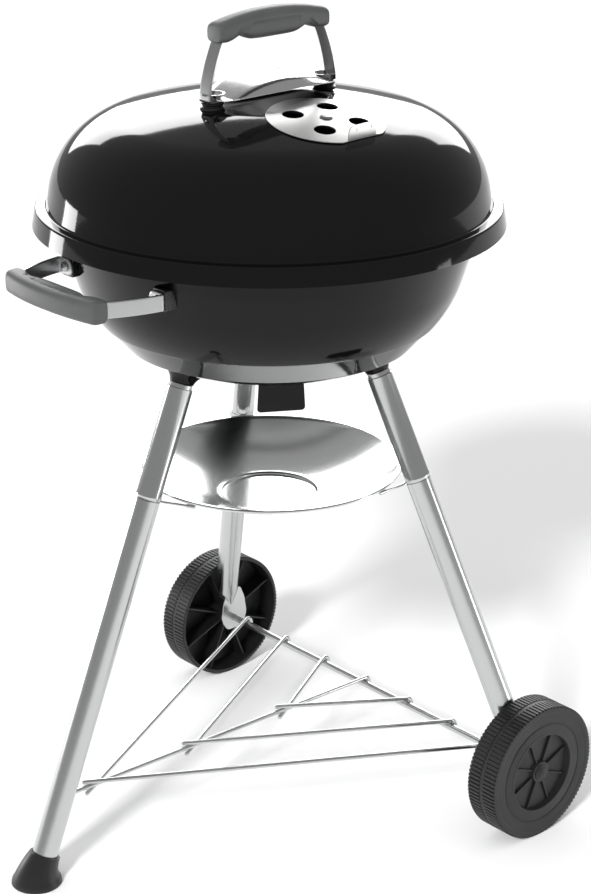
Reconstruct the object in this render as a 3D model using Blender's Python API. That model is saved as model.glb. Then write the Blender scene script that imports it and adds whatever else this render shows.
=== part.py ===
"""Kettle charcoal grill on three legs, with two wheels.

Units are metres and +Z is up. The origin lies on the ground, under the middle of the
whole grill. The front leg with its foot points to -Y, and the axle lies along X at the
back. The kettle's own axis is vertical and stands at y = KETTLE_Y.
"""
import math

import bmesh
import bpy
from mathutils import Matrix, Vector

# ---- Clearances and sheet --------------------------------------------------------------
GAP = 0.0003              # clearance kept between pieces that touch
SHEET = 0.0012            # enamelled steel sheet of the bowl and the lid
SKIN_PLAY = 0.0008        # clearance to a domed skin, under discs and nuts
DAMPER_SHEET = 0.0010

# ---- Kettle: everything above the legs hangs from RIM_Z and KETTLE_R ---------------------
RIM_Z = 0.6854            # top face of the lid's flange
KETTLE_R = 0.2314         # foot of the lid's wall
LID_LEAN = math.radians(10.7)
LID_WALL_H = 0.0195
LID_SHOULDER_R = 0.0937
LID_CROWN_ANGLE = math.radians(14.7)
FLANGE_W = 0.0109
SKIRT_FLARE = 0.0037
SKIRT_DROP = 0.0194

BEAD_R = 0.0052           # rolled rim of the bowl
BEAD_INSET = 0.0004       # bead's centre line inside the foot of the lid's wall
BEAD_TURN = (math.radians(-110), math.radians(160))  # how far the sheet is rolled round
BOWL_NECK_INSET = 0.0104  # wall under the bead
BOWL_NECK_DROP = 0.0154
BOWL_LEAN = math.radians(16.6)
BOWL_WALL_H = 0.0590
BOWL_SHOULDER_R = 0.1348
BOWL_LEDGE_LEAN = math.radians(38.9)
BOWL_LEDGE_W = 0.0025
BOWL_CONE_LEAN = math.radians(41.2)
BOWL_CONE_H = 0.0262
BOWL_CROWN_SAG = 0.0365

# ---- Lid damper -------------------------------------------------------------------------
LID_DAMPER_R = 0.0600
LID_DAMPER_DIST = 0.1005  # from the kettle's axis
LID_DAMPER_AZ = math.radians(-7.0)
LID_TAB_TURN = math.radians(8.0)
LID_TAB_W = 0.0380
LID_TAB_H = 0.0150
LID_TAB_DIST = 0.0525
LID_TAB_CORNER = 0.0050
LID_VENT_R = 0.0110
LID_VENT_DIST = 0.0330
RIVET_HEAD_R = 0.0070
RIVET_R = 0.0030
RIVET_TOP_R = 0.0056      # flat top of the rivet's head
RIVET_TAIL_R = 0.0048

# ---- Bowl damper ------------------------------------------------------------------------
BOWL_DAMPER_R = 0.0720
BOWL_TAB_AZ = math.radians(-30.0)
BOWL_TAB_DIST = 0.0660
BOWL_TAB_W = 0.0510
BOWL_TAB_DROP = 0.0320
BOWL_TAB_TAPER = 0.0015
BOWL_TAB_CORNER = 0.0040
BOWL_VENT_R = 0.0140
BOWL_VENT_DIST = 0.0400
VENT_COUNT = 4

# ---- Handles (both are the same strap and grip) -------------------------------------------
BOLT_SPAN = 0.0750        # from the handle's middle to a bolt
STRAP_W = 0.0168
STRAP_T = 0.0025
STRAP_CORNER = 0.0860
STRAP_TOE = 0.0630
STRAP_BEND = 0.0040       # radius of the strap's bends
STRAP_RISE = ((0.0786, 0.0328), (0.0690, 0.0575), (0.0610, 0.0690))
GRIP_HALF = 0.0710
GRIP_W = 0.0240
GRIP_BOTTOM = 0.0572
GRIP_TOP_MIDDLE = 0.0875
GRIP_TOP_END = 0.0780
GRIP_ROUND = 0.0030       # rounding of the grip's ends, along the grip
GRIP_END_SHARE = 0.82     # size of an end face, as a share of the section
GRIP_SQUARE = 0.6         # power that squares the section; 1 is an ellipse
BOLT_R = 0.0030
BOLT_HEAD_R = 0.0055
BOLT_HEAD_H = 0.0032
BOLT_DOME_R = 0.0038      # flat top of a domed head
NUT_R = 0.0052
NUT_H = 0.0040
SPACER_R = 0.0105
SPACER_WAIST = 0.0015
SPACER_H = 0.0056
SPACER_REACH = 0.0022     # a spacer's foot, cut away to the lid's skin
SHIELD_T = 0.0010
SHIELD_RISE = 0.0165
SHIELD_SHORT = 0.0065     # shield's ends, from the strap's corners
SHIELD_FLAT = 0.0660
SHIELD_HALF_END = 0.0210
SHIELD_HALF_MIDDLE = 0.0470
SHIELD_BEND = 0.8         # where the long edges turn down, as a share of the half width
SHIELD_EDGE_DROP = 0.0085
BOWL_HANDLE_DROP = 0.0474  # from RIM_Z to the bowl handle's middle
BOWL_HANDLE_STAND = 0.0090
BRACKET_W = 0.0190
BRACKET_H = 0.0220
BRACKET_REACH = 0.0360    # bracket before it is cut away to the bowl's skin
SCREW_LEN = 0.0060

# ---- Grates -----------------------------------------------------------------------------
GRATE_DROP = 0.0330       # from RIM_Z to the cooking grate's ring
GRATE_EDGE = 0.0058       # cooking grate's clearance to the bowl
GRATE_WIRE_R = 0.0030
GRATE_ROD_R = 0.0021
GRATE_ROD_PITCH = 0.0240
COAL_EDGE = 0.0032
COAL_WIRE_R = 0.0032
COAL_ROD_R = 0.0028
COAL_ROD_PITCH = 0.0320
BEARER_REACH = 0.0110     # support bracket under the cooking grate
BEARER_W = 0.0140
BEARER_H = 0.0180
BEARER_T = 0.0020
BEARER_AZ = (90.0, 210.0, 330.0)
ROD_BITE = 0.82           # height of a rod on the ring, as a share of both radii
BAR_SHARE = 0.9           # cross bars' radius, as a share of the ring's

# ---- Legs -------------------------------------------------------------------------------
LEG_TOP_R = 0.1220        # from the kettle's axis to the top of a tube
LEG_TOP_DROP = 0.0169     # from the bowl's skin down to the top of a tube
LEG_TILT = math.radians(21.86)
LEG_R = 0.0136
LEG_WALL = 0.0010
UPPER_LEG_DROP = 0.1125
SWAGE_LEN = 0.0300
PLUG_NECK_H = 0.0046
PLUG_INSERT = 0.0250
PLUG_PIN_R = 0.0080
PLUG_PIN_H = 0.0070
SOCKET_FLARE_R = 0.0215
SOCKET_MOUTH_R = 0.0128
SOCKET_H = 0.0260
SOCKET_LIP = 0.0012       # widening just above the socket's mouth
SOCKET_LIP_H = 0.0039
SOCKET_WAIST_H = 0.0156   # where the socket starts to flare to the bowl
SOCKET_FLARE = 0.0015
FOOT_R = 0.0268
FOOT_LIP_H = 0.0040
FOOT_LIP_IN = 0.0006
FOOT_HOLLOW = 0.7         # power of the cone's hollow side; 1 is straight
FOOT_H = 0.0290
FOOT_COLLAR = 0.0030
FOOT_FLOOR = 0.0120
PADDLE_HALF_W = 0.0200
PADDLE_T = 0.0030
PADDLE_DROP = 0.0145      # paddle's tip, below the axle
PADDLE_BEND_Z = 0.1265
PADDLE_SQUARE = 0.6       # power that squares the flat end's section
PADDLE_TURN = math.radians(80)  # how far the flat end's tip is rounded
TAPER_START_Z = 0.1850
FLAT_START_Z = 0.1180

# ---- Wheels and axle ----------------------------------------------------------------------
WHEEL_R = 0.0764
WHEEL_W = 0.0388
WHEEL_STAND = 0.0253      # from the paddle's middle to the wheel's middle
AXLE_R = 0.0040
HUB_R = 0.0120
WHEEL_RECESS_R = 0.0437
WHEEL_HOLLOW_R = 0.0655
WHEEL_CHAMFER = 0.0018
WHEEL_WEB = 0.0040
RECESS_DEPTH = 0.0070
HUB_SINK = 0.0020
RIB_T = 0.0020
RIB_COUNT = 8
CAP_R = 0.0095
CAP_H = 0.0042
CAP_TOP_SHARE = 0.75      # flat top of a cap, as a share of its radius
CAP_EDGE_H = 0.0023
AXLE_PROUD = 0.0020

# ---- Ash catcher --------------------------------------------------------------------------
ASH_EDGE = 0.0086         # clearance to the legs
ASH_SHEET = 0.0012
ASH_RIM_W = 0.0060
ASH_RIM_H = 0.0030
ASH_DEPTH = 0.0352
ASH_DIMPLE_R = 0.0549
ASH_DIMPLE_STEP = 0.0030
ASH_BELLY = 0.0040
CLIP_R = 0.0013
CLIP_ARM = 0.0400
CLIP_TIP_R = 0.0021
CLIP_TIP_LEN = 0.0100

# ---- Wire rack ----------------------------------------------------------------------------
RACK_WIRE_R = 0.0025
RACK_FRONT_Z = 0.0880
RACK_FIRST = 0.0372       # from the front leg's middle to the first crossing
RACK_PITCH = 0.1359
RACK_INSET = 0.0249       # outer wire ends, from the paddles' middle
RACK_STUB = 0.0080
RACK_TUCK = 0.0041        # how far the spine's end reaches into the front leg's wall
RACK_HOOK = math.radians(-25)  # where a hooked end stops on the axle's far side
RACK_ROWS = 3

# ---- How finely round shapes are divided ----------------------------------------------------
KETTLE_SEGS = 32
PAN_SEGS = 28
TUBE_SEGS = 16
WHEEL_SEGS = 24
PIN_SEGS = 12
WIRE_SIDES = 6
ROD_SIDES = 4

# ---- Places that follow from the sizes above ------------------------------------------------
LEG_SLOPE = math.tan(LEG_TILT)
LEG_AZ = {"front": math.radians(-90), "right": math.radians(30), "left": math.radians(150)}


def arc(centre, radius, start, end, steps):
    """Points (r, z) on an arc; angles are measured from +r towards +z."""
    points = []
    for i in range(steps + 1):
        a = start + (end - start) * i / steps
        points.append((centre[0] + radius * math.cos(a), centre[1] + radius * math.sin(a)))
    return points


def squared(a, power):
    """Cosine and sine of a, pushed towards a square by a power under 1."""
    c = math.copysign(abs(math.cos(a)) ** power, math.cos(a))
    s = math.copysign(abs(math.sin(a)) ** power, math.sin(a))
    return c, s


def lid_shoulder():
    """Centre (r, z) of the arc between the lid's wall and its crown."""
    foot_r = KETTLE_R - LID_WALL_H * math.tan(LID_LEAN)
    return (foot_r - LID_SHOULDER_R * math.cos(LID_LEAN),
            RIM_Z + LID_WALL_H - LID_SHOULDER_R * math.sin(LID_LEAN))


def crown_sphere():
    """Centre height and radius of the sphere that the lid's crown follows."""
    centre_r, centre_z = lid_shoulder()
    edge_r = centre_r + LID_SHOULDER_R * math.sin(LID_CROWN_ANGLE)
    edge_z = centre_z + LID_SHOULDER_R * math.cos(LID_CROWN_ANGLE)
    radius = edge_r / math.sin(LID_CROWN_ANGLE)
    return edge_z - radius * math.cos(LID_CROWN_ANGLE), radius


CROWN_CZ, CROWN_R = crown_sphere()


def crown_z(r):
    """Height of the lid's outer skin at distance r from the kettle's axis."""
    return CROWN_CZ + math.sqrt(CROWN_R ** 2 - r ** 2)


def left_normal(p, q):
    step = Vector(q) - Vector(p)
    return Vector((-step.y, step.x)).normalized()


def skin(points, distance):
    """The outline moved to its left by distance; ends on the axis stay on the axis."""
    moved = []
    for i, point in enumerate(points):
        before = left_normal(points[i - 1], point) if i else None
        after = left_normal(point, points[i + 1]) if i + 1 < len(points) else before
        before = before or after
        if point[0] == 0.0:
            moved.append((0.0, point[1] + distance / before.y))
            continue
        place = Vector(point) + (before + after) * distance / (1 + before.dot(after))
        moved.append((place.x, place.y))
    return moved


def lid_outline():
    """Outer skin of the lid from the skirt's edge, over the flange, up to the apex."""
    flange_r = KETTLE_R + FLANGE_W
    shoulder_end = math.pi / 2 - LID_CROWN_ANGLE
    crown = arc((0.0, CROWN_CZ), CROWN_R, shoulder_end, math.pi / 2, 3)
    points = [(flange_r + SKIRT_FLARE, RIM_Z - SKIRT_DROP), (flange_r, RIM_Z), (KETTLE_R, RIM_Z)]
    points += arc(lid_shoulder(), LID_SHOULDER_R, LID_LEAN, shoulder_end, 4)
    return points + crown[1:-1] + [(0.0, CROWN_CZ + CROWN_R)]


def bowl_ledge():
    """Outer corner of the ledge that carries the charcoal grate, and the cone's top radius."""
    neck_r = KETTLE_R - BOWL_NECK_INSET
    foot_r = neck_r - BOWL_WALL_H * math.tan(BOWL_LEAN)
    foot_z = RIM_Z - BOWL_NECK_DROP - BOWL_WALL_H
    centre = (foot_r - BOWL_SHOULDER_R * math.cos(BOWL_LEAN),
              foot_z + BOWL_SHOULDER_R * math.sin(BOWL_LEAN))
    shoulder = arc(centre, BOWL_SHOULDER_R, -BOWL_LEDGE_LEAN, -BOWL_LEAN, 3)
    return shoulder, shoulder[0][0] - BOWL_LEDGE_W


def bowl_ring():
    """Radius and height of the bowl's bottom ring, at its outer skin."""
    shoulder, cone_r = bowl_ledge()
    return cone_r - BOWL_CONE_H * math.tan(BOWL_CONE_LEAN), shoulder[0][1] - BOWL_CONE_H


def bowl_crown():
    """Centre height and radius of the sphere that the bowl's bottom follows."""
    ring_r, ring_z = bowl_ring()
    radius = (ring_r ** 2 + BOWL_CROWN_SAG ** 2) / (2 * BOWL_CROWN_SAG)
    return ring_z - BOWL_CROWN_SAG + radius, radius


BOWL_CZ, BOWL_CROWN_R = bowl_crown()


def bowl_z(r):
    """Height of the bowl's outer skin under its bottom ring."""
    return BOWL_CZ - math.sqrt(BOWL_CROWN_R ** 2 - r ** 2)


def bowl_r(z):
    """Radius of the bowl's outer skin on its straight wall."""
    neck_z = RIM_Z - BOWL_NECK_DROP
    return KETTLE_R - BOWL_NECK_INSET - (neck_z - z) * math.tan(BOWL_LEAN)


def bowl_outline():
    """Outer skin of the bowl from the lowest point up to the neck under its bead."""
    shoulder, cone_r = bowl_ledge()
    ring_r, ring_z = bowl_ring()
    edge = math.asin(ring_r / BOWL_CROWN_R)
    crown = arc((0.0, BOWL_CZ), BOWL_CROWN_R, -math.pi / 2, edge - math.pi / 2, 4)
    points = [(0.0, BOWL_CZ - BOWL_CROWN_R)] + crown[1:]
    points.append((cone_r, shoulder[0][1] - BOWL_LEDGE_W / 4))
    points += shoulder
    points.append((KETTLE_R - BOWL_NECK_INSET, RIM_Z - BOWL_NECK_DROP))
    return points


def bowl_section():
    """Closed outline of the bowl's sheet, with the rolled bead at its rim."""
    centre = (KETTLE_R - BEAD_INSET, RIM_Z - SHEET - GAP - BEAD_R)
    bead = arc(centre, BEAD_R, *BEAD_TURN, 6)
    outside = bowl_outline()
    return outside + bead + skin(outside, SHEET)[::-1]


LEG_TOP_Z = bowl_z(LEG_TOP_R) - LEG_TOP_DROP
JOINT_Z = LEG_TOP_Z - UPPER_LEG_DROP
BOWL_HANDLE_Z = RIM_Z - BOWL_HANDLE_DROP


def leg_r(z):
    """Distance from the kettle's axis to a leg's middle at height z."""
    return LEG_TOP_R + LEG_SLOPE * (LEG_TOP_Z - z)


def leg_point(side, z):
    """Middle of a leg at height z, seen from the kettle's axis."""
    a = LEG_AZ[side]
    return Vector((leg_r(z) * math.cos(a), leg_r(z) * math.sin(a), z))


AXLE_Y = leg_point("right", WHEEL_R).y
PADDLE_X = leg_point("right", PADDLE_BEND_Z).x
WHEEL_X = PADDLE_X + WHEEL_STAND
FOOT_REACH = leg_r(0.0) + FOOT_R
SKIRT_REACH = KETTLE_R + FLANGE_W + SKIRT_FLARE
KETTLE_Y = (FOOT_REACH - max(SKIRT_REACH, AXLE_Y + WHEEL_R)) / 2


# ---- Modelling helpers ----------------------------------------------------------------------
def clear_scene():
    for old in list(bpy.data.objects):
        bpy.data.objects.remove(old, do_unlink=True)


def material(name, colour, roughness, metallic):
    mat = bpy.data.materials.new(name)
    mat.use_nodes = True
    shader = mat.node_tree.nodes["Principled BSDF"]
    shader.inputs["Base Color"].default_value = (*colour, 1.0)
    shader.inputs["Roughness"].default_value = roughness
    shader.inputs["Metallic"].default_value = metallic
    mat.diffuse_color = (*colour, 1.0)
    return mat


def empty(name, location, rotation, parent):
    """Axis or seat that pieces hang from."""
    obj = bpy.data.objects.new(name, None)
    obj.location = location
    obj.rotation_euler = rotation
    obj.parent = parent
    bpy.context.scene.collection.objects.link(obj)
    return obj


def finish(bm, name, parent, finish_of):
    """Turn a bmesh into a named object with faces pointing out."""
    bmesh.ops.recalc_face_normals(bm, faces=bm.faces)
    if bm.calc_volume(signed=True) < 0:
        bmesh.ops.reverse_faces(bm, faces=bm.faces)
    mesh = bpy.data.meshes.new(name)
    bm.to_mesh(mesh)
    bm.free()
    mesh.shade_smooth()
    mesh.set_sharp_from_angle(angle=math.radians(30))
    obj = bpy.data.objects.new(name, mesh)
    obj.parent = parent
    bpy.context.scene.collection.objects.link(obj)
    if finish_of:
        mesh.materials.append(finish_of)
    return obj


def turned(name, outline, segments, parent, finish_of=None):
    """Revolve an outline of (r, z) points round Z; points at r = 0 become poles."""
    bm = bmesh.new()
    rings = []
    for r, z in outline:
        if r == 0.0:
            rings.append([bm.verts.new((0.0, 0.0, z))])
            continue
        turns = [2 * math.pi * i / segments for i in range(segments)]
        rings.append([bm.verts.new((r * math.cos(a), r * math.sin(a), z)) for a in turns])
    pairs = list(zip(rings, rings[1:]))
    if outline[0][0] != 0.0:
        pairs.append((rings[-1], rings[0]))
    for upper, lower in pairs:
        bridge_rings(bm, upper, lower, segments)
    return finish(bm, name, parent, finish_of)


def bridge_rings(bm, upper, lower, segments):
    for i in range(segments):
        j = (i + 1) % segments
        if len(upper) == 1:
            bm.faces.new((upper[0], lower[i], lower[j]))
        elif len(lower) == 1:
            bm.faces.new((upper[i], lower[0], upper[j]))
        else:
            bm.faces.new((upper[i], lower[i], lower[j], upper[j]))


def loft(name, rings, parent, finish_of=None, closed=False):
    """Skin a row of equal rings of points; the two ends are capped unless it is closed."""
    bm = bmesh.new()
    rows = [[bm.verts.new(p) for p in ring] for ring in rings]
    pairs = list(zip(rows, rows[1:]))
    if closed:
        pairs.append((rows[-1], rows[0]))
    for a, b in pairs:
        bridge_rings(bm, a, b, len(a))
    if not closed:
        bm.faces.new(rows[0])
        bm.faces.new(rows[-1])
    return finish(bm, name, parent, finish_of)


def wire_rings(points, radii, sides):
    """Rings of a round wire along points, without twist."""
    points = [Vector(p) for p in points]
    tangents = []
    for i in range(len(points)):
        before = points[max(i - 1, 0)]
        after = points[min(i + 1, len(points) - 1)]
        tangents.append((after - before).normalized())
    side = tangents[0].orthogonal().normalized()
    rings = []
    for p, t, r in zip(points, tangents, radii):
        side = (side - t * side.dot(t)).normalized()
        other = t.cross(side)
        ring = []
        for k in range(sides):
            a = 2 * math.pi * (k + 0.5) / sides
            ring.append(p + (side * math.cos(a) + other * math.sin(a)) * r)
        rings.append(ring)
    return rings


def wire(name, points, radius, parent, finish_of=None, sides=WIRE_SIDES):
    radii = radius if isinstance(radius, list) else [radius] * len(points)
    return loft(name, wire_rings(points, radii, sides), parent, finish_of)


def rod(name, radius, low, high, parent, finish_of=None, sides=TUBE_SEGS):
    """Solid round bar along the parent's Z axis."""
    outline = [(0.0, high), (radius, high), (radius, low), (0.0, low)]
    return turned(name, outline, sides, parent, finish_of)


def block(name, low, high, parent, finish_of=None):
    """Rectangular block between two corners."""
    corners = ((low[0], low[1]), (high[0], low[1]), (high[0], high[1]), (low[0], high[1]))
    rings = [[(x, y, z) for x, y in corners] for z in (low[2], high[2])]
    return loft(name, rings, parent, finish_of)


def band(name, path, thickness, width, parent, finish_of=None):
    """Flat strap along a path of (u, v) points in the parent's XZ plane."""
    points = [Vector(p) for p in path]
    rings = []
    for i, p in enumerate(points):
        into = (p - points[i - 1]).normalized() if i else None
        away = (points[i + 1] - p).normalized() if i + 1 < len(points) else into
        into = into or away
        mean = (into + away).normalized()
        normal = Vector((-mean.y, mean.x))
        reach = thickness / 2 / max(normal.dot(Vector((-into.y, into.x))), 0.5)
        low = p - normal * reach
        high = p + normal * reach
        half = width / 2
        rings.append([(low.x, -half, low.y), (low.x, half, low.y),
                      (high.x, half, high.y), (high.x, -half, high.y)])
    return loft(name, rings, parent, finish_of)


def rounded(path, radius, steps):
    """Replace each corner of a (u, v) path by a short arc of the given radius."""
    points = [Vector(p) for p in path]
    out = [points[0]]
    for before, corner, after in zip(points, points[1:], points[2:]):
        to_before = (before - corner).normalized()
        to_after = (after - corner).normalized()
        half = to_before.angle(to_after) / 2
        cut = min(radius / math.tan(half), (before - corner).length / 2.2,
                  (after - corner).length / 2.2)
        start = corner + to_before * cut
        end = corner + to_after * cut
        for i in range(steps + 1):
            t = i / steps
            mid = start.lerp(corner, t).lerp(corner.lerp(end, t), t)
            out.append(mid)
    out.append(points[-1])
    return [tuple(p) for p in out]


def modify(obj, tool, operation):
    """Boolean with a hidden tool."""
    tool.hide_render = True
    tool.display_type = "WIRE"
    mod = obj.modifiers.new(operation.title() + "_" + tool.name, "BOOLEAN")
    mod.operation = operation
    mod.solver = "EXACT"
    mod.object = tool
    return obj


def cut(obj, *tools):
    for tool in tools:
        modify(obj, tool, "DIFFERENCE")
    return obj


def weld(obj, *pieces):
    for piece in pieces:
        modify(obj, piece, "UNION")
    return obj


def join(name, pieces, parent):
    """Gather loose shapes, built under one parent, in one tool object."""
    mesh = bpy.data.meshes.new(name)
    bm = bmesh.new()
    for piece in pieces:
        bm.from_mesh(piece.data)
        bpy.data.objects.remove(piece, do_unlink=True)
    bm.to_mesh(mesh)
    bm.free()
    obj = bpy.data.objects.new(name, mesh)
    obj.parent = parent
    bpy.context.scene.collection.objects.link(obj)
    return obj


def pattern(name, radius, distance, count, start, low, high, parent):
    """Round holes, evenly spaced on a circle about the parent's Z axis."""
    holes = []
    for i in range(count):
        a = start + 2 * math.pi * i / count
        hole = rod("hole", radius, low, high, parent, sides=PIN_SEGS)
        hole.data.transform(Matrix.Translation((distance * math.cos(a), distance * math.sin(a), 0)))
        holes.append(hole)
    return join(name, holes, parent)


def surface_seat(name, centre_z, radius, dist, azimuth, parent):
    """Empty on a sphere's skin at dist from the axis, with Z along the skin's normal."""
    tilt = math.asin(dist / radius)
    place = (dist * math.cos(azimuth), dist * math.sin(azimuth),
             centre_z + radius * math.cos(tilt))
    return empty(name, place, (0.0, tilt, azimuth), parent)


def plate(name, outline, low, high, parent, finish_of=None):
    """Flat sheet with an outline of (y, z) points, between two x."""
    rings = [[(x, y, z) for y, z in outline] for x in (low, high)]
    return loft(name, rings, parent, finish_of)


def tab_outline(width, base, tip, corner, flare=0.0):
    """Tongue with two rounded corners at its tip; flare widens the tip on each side."""
    sign = 1 if tip > base else -1
    half = width / 2
    points = [(-half + flare, base), (half - flare, base)]
    for side in (1, -1):
        start = 0 if side == 1 else math.pi / 2
        for i in range(4):
            a = start + math.pi / 2 * i / 3
            points.append((side * (half - corner) + corner * math.cos(a),
                           tip - sign * corner + sign * corner * math.sin(a)))
    return points


def disc_outline(centre_z, near, far, edge_r, up):
    """Domed disc between two spheres; up is 1 above the centre and -1 below it."""
    top = arc((0.0, 0.0), far, math.pi / 2, math.acos(edge_r / far), 3)[1:]
    low = arc((0.0, 0.0), near, math.acos(edge_r / near), math.pi / 2, 3)[:-1]
    points = [(0.0, far)] + top + low + [(0.0, near)]
    return [(r, centre_z + up * z) for r, z in points]


# ---- Lid ------------------------------------------------------------------------------------
def build_lid(kettle, mats):
    """Enamelled lid with its damper, handle and heat shield; the whole lid lifts off."""
    lid = empty("lid_axis", (0, 0, 0), (0, 0, 0), kettle)
    outside = lid_outline()
    shell = turned("lid_shell", outside[::-1] + skin(outside, SHEET), KETTLE_SEGS, lid,
                   mats["enamel"])
    over = skin(outside[2:], -GAP)
    envelope = turned("lid_envelope", over[::-1] + [(0.0, RIM_Z)], KETTLE_SEGS, lid)
    build_lid_damper(lid, shell, mats)
    build_lid_handle(lid, shell, envelope, mats)


def build_lid_damper(lid, shell, mats):
    seat = surface_seat("lid_damper_axis", CROWN_CZ, CROWN_R, LID_DAMPER_DIST,
                        LID_DAMPER_AZ, lid)
    near = CROWN_R + SKIN_PLAY
    far = near + DAMPER_SHEET
    outline = disc_outline(-CROWN_R, near, far, LID_DAMPER_R, 1)
    disc = turned("lid_damper", outline, WHEEL_SEGS, seat, mats["aluminium"])
    turn = empty("lid_tab_seat", (0, 0, 0), (0, 0, LID_TAB_TURN), seat)
    base = math.sqrt(near ** 2 - LID_TAB_DIST ** 2) - CROWN_R
    shape = tab_outline(LID_TAB_W, base, base + LID_TAB_H, LID_TAB_CORNER)
    tab = plate("lid_tab", shape, LID_TAB_DIST - DAMPER_SHEET, LID_TAB_DIST, turn)
    beyond = block("lid_tab_trim", (LID_TAB_DIST - DAMPER_SHEET / 4, -LID_TAB_W, -LID_TAB_H),
                   (LID_DAMPER_R * 2, LID_TAB_W, LID_TAB_H), turn)
    vents = pattern("lid_vent_cutter", LID_VENT_R, LID_VENT_DIST, VENT_COUNT, math.pi / 4,
                    -LID_TAB_H, LID_TAB_H, turn)
    bore = rod("lid_rivet_cutter", RIVET_R + GAP, -LID_TAB_H, LID_TAB_H, seat)
    cut(disc, beyond)
    weld(disc, tab)
    cut(disc, vents, bore)
    cut(shell, vents, bore)
    head = SKIN_PLAY + DAMPER_SHEET + GAP
    tail = -SHEET - SKIN_PLAY
    rivet = [(0.0, head + RIVET_R / 2), (RIVET_TOP_R, head + RIVET_R / 2),
             (RIVET_HEAD_R, head + GAP), (RIVET_HEAD_R, head), (RIVET_R, head),
             (RIVET_R, tail), (RIVET_TAIL_R, tail), (RIVET_TAIL_R, tail - RIVET_R / 2),
             (0.0, tail - RIVET_R / 2)]
    turned("lid_damper_rivet", rivet, PIN_SEGS, seat, mats["aluminium"])


def strap_path():
    """Middle line of a handle's strap, from toe to toe, in the handle's own plane."""
    half = [(STRAP_TOE, STRAP_T / 2), (STRAP_CORNER, STRAP_T / 2)] + list(STRAP_RISE)
    whole = [(-u, v) for u, v in half] + half[::-1]
    return rounded(whole, STRAP_BEND, 2)


def grip_section(u):
    """Ring round the grip at u: a rounded oblong, highest in the middle of the grip."""
    crown = 0.5 + 0.5 * math.cos(math.pi * u / GRIP_HALF)
    top = GRIP_TOP_END + (GRIP_TOP_MIDDLE - GRIP_TOP_END) * crown
    shrink = GRIP_END_SHARE if abs(u) >= GRIP_HALF else 1.0
    middle = (top + GRIP_BOTTOM) / 2
    ring = []
    for i in range(PIN_SEGS):
        c, s = squared(2 * math.pi * (i + 0.5) / PIN_SEGS, GRIP_SQUARE)
        ring.append((u, shrink * c * GRIP_W / 2, middle + shrink * s * (top - GRIP_BOTTOM) / 2))
    return ring


def bolt_outline(head, tip):
    """Domed head whose underside is at head, and a shank down to tip."""
    return [(0.0, head + BOLT_HEAD_H), (BOLT_DOME_R, head + BOLT_HEAD_H),
            (BOLT_HEAD_R, head + BOLT_HEAD_H / 3), (BOLT_HEAD_R, head), (BOLT_R, head),
            (BOLT_R, tip), (0.0, tip)]


def build_handle(prefix, seat, mats):
    """Steel strap with a nylon grip moulded round its middle."""
    path = strap_path()
    strap = band(prefix + "_strap", path, STRAP_T, STRAP_W, seat, mats["steel"])
    inner = GRIP_HALF - GRIP_ROUND
    steps = 8
    stations = [-inner + 2 * inner * i / steps for i in range(steps + 1)]
    rings = [grip_section(u) for u in [-GRIP_HALF] + stations + [GRIP_HALF]]
    grip = loft(prefix + "_grip", rings, seat, mats["nylon"])
    slot = band(prefix + "_slot_cutter", path, STRAP_T + 2 * GAP, STRAP_W + 2 * GAP, seat)
    cut(grip, slot)
    return strap


def shield_rings():
    """Arched heat shield, flat at its ends where the bolts hold it."""
    rings = []
    steps = 12
    low = STRAP_T + GAP
    for i in range(steps + 1):
        u = SHIELD_FLAT * (2 * i / steps - 1)
        arch = 1.0 - (u / SHIELD_FLAT) ** 2
        rings.append(shield_ring(u, low + SHIELD_RISE * arch, arch))
    end = STRAP_CORNER - SHIELD_SHORT
    return [shield_ring(-end, low, 0.0)] + rings + [shield_ring(end, low, 0.0)]


def shield_ring(u, low, arch):
    """Section of the shield at u: level in the middle, with its two edges turned down."""
    half = SHIELD_HALF_END + (SHIELD_HALF_MIDDLE - SHIELD_HALF_END) * arch
    bend = half * SHIELD_BEND
    edge = low - SHIELD_EDGE_DROP * arch
    under = [(-half, edge), (-bend, low), (bend, low), (half, edge)]
    over = [(w, z + SHIELD_T) for w, z in under[::-1]]
    return [(u, w, z) for w, z in under + over]


def build_lid_handle(lid, shell, envelope, mats):
    seat_z = crown_z(BOLT_SPAN) + SPACER_H
    seat = empty("lid_handle_seat", (0, 0, seat_z), (0, 0, math.pi / 2), lid)
    strap = build_handle("lid_handle", seat, mats)
    shield = loft("lid_heat_shield", shield_rings(), seat, mats["polished"])
    for side, u in (("front", -BOLT_SPAN), ("rear", BOLT_SPAN)):
        build_lid_bolt(side, u, seat, seat_z, (shell, strap, shield), envelope, mats)


def build_lid_bolt(side, u, seat, seat_z, held, envelope, mats):
    """Bolt through shield, strap, spacer and lid, with a nut inside the lid."""
    axis = empty("lid_bolt_axis_" + side, (u, 0, 0), (0, 0, 0), seat)
    head = STRAP_T + SHIELD_T + 2 * GAP
    nut_top = crown_z(BOLT_SPAN + NUT_R) - SHEET - SKIN_PLAY - seat_z
    tip = nut_top - NUT_H - GAP
    bore = rod("lid_bolt_cutter_" + side, BOLT_R + GAP, tip - NUT_H, head + BOLT_HEAD_H, axis)
    for piece in held:
        cut(piece, bore)
    flare = SPACER_R + SPACER_WAIST
    outline = [(0.0, -GAP), (SPACER_R, -GAP), (SPACER_R - SPACER_WAIST, -SPACER_H / 2),
               (flare, -SPACER_H - SPACER_REACH), (0.0, -SPACER_H - SPACER_REACH)]
    spacer = turned("lid_handle_spacer_" + side, outline, TUBE_SEGS, axis, mats["black"])
    cut(spacer, envelope, bore)
    turned("lid_handle_bolt_" + side, bolt_outline(head, tip), PIN_SEGS, axis, mats["zinc"])
    nut = rod("lid_handle_nut_" + side, NUT_R, nut_top - NUT_H, nut_top, axis, mats["zinc"],
              sides=6)
    cut(nut, bore)


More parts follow.
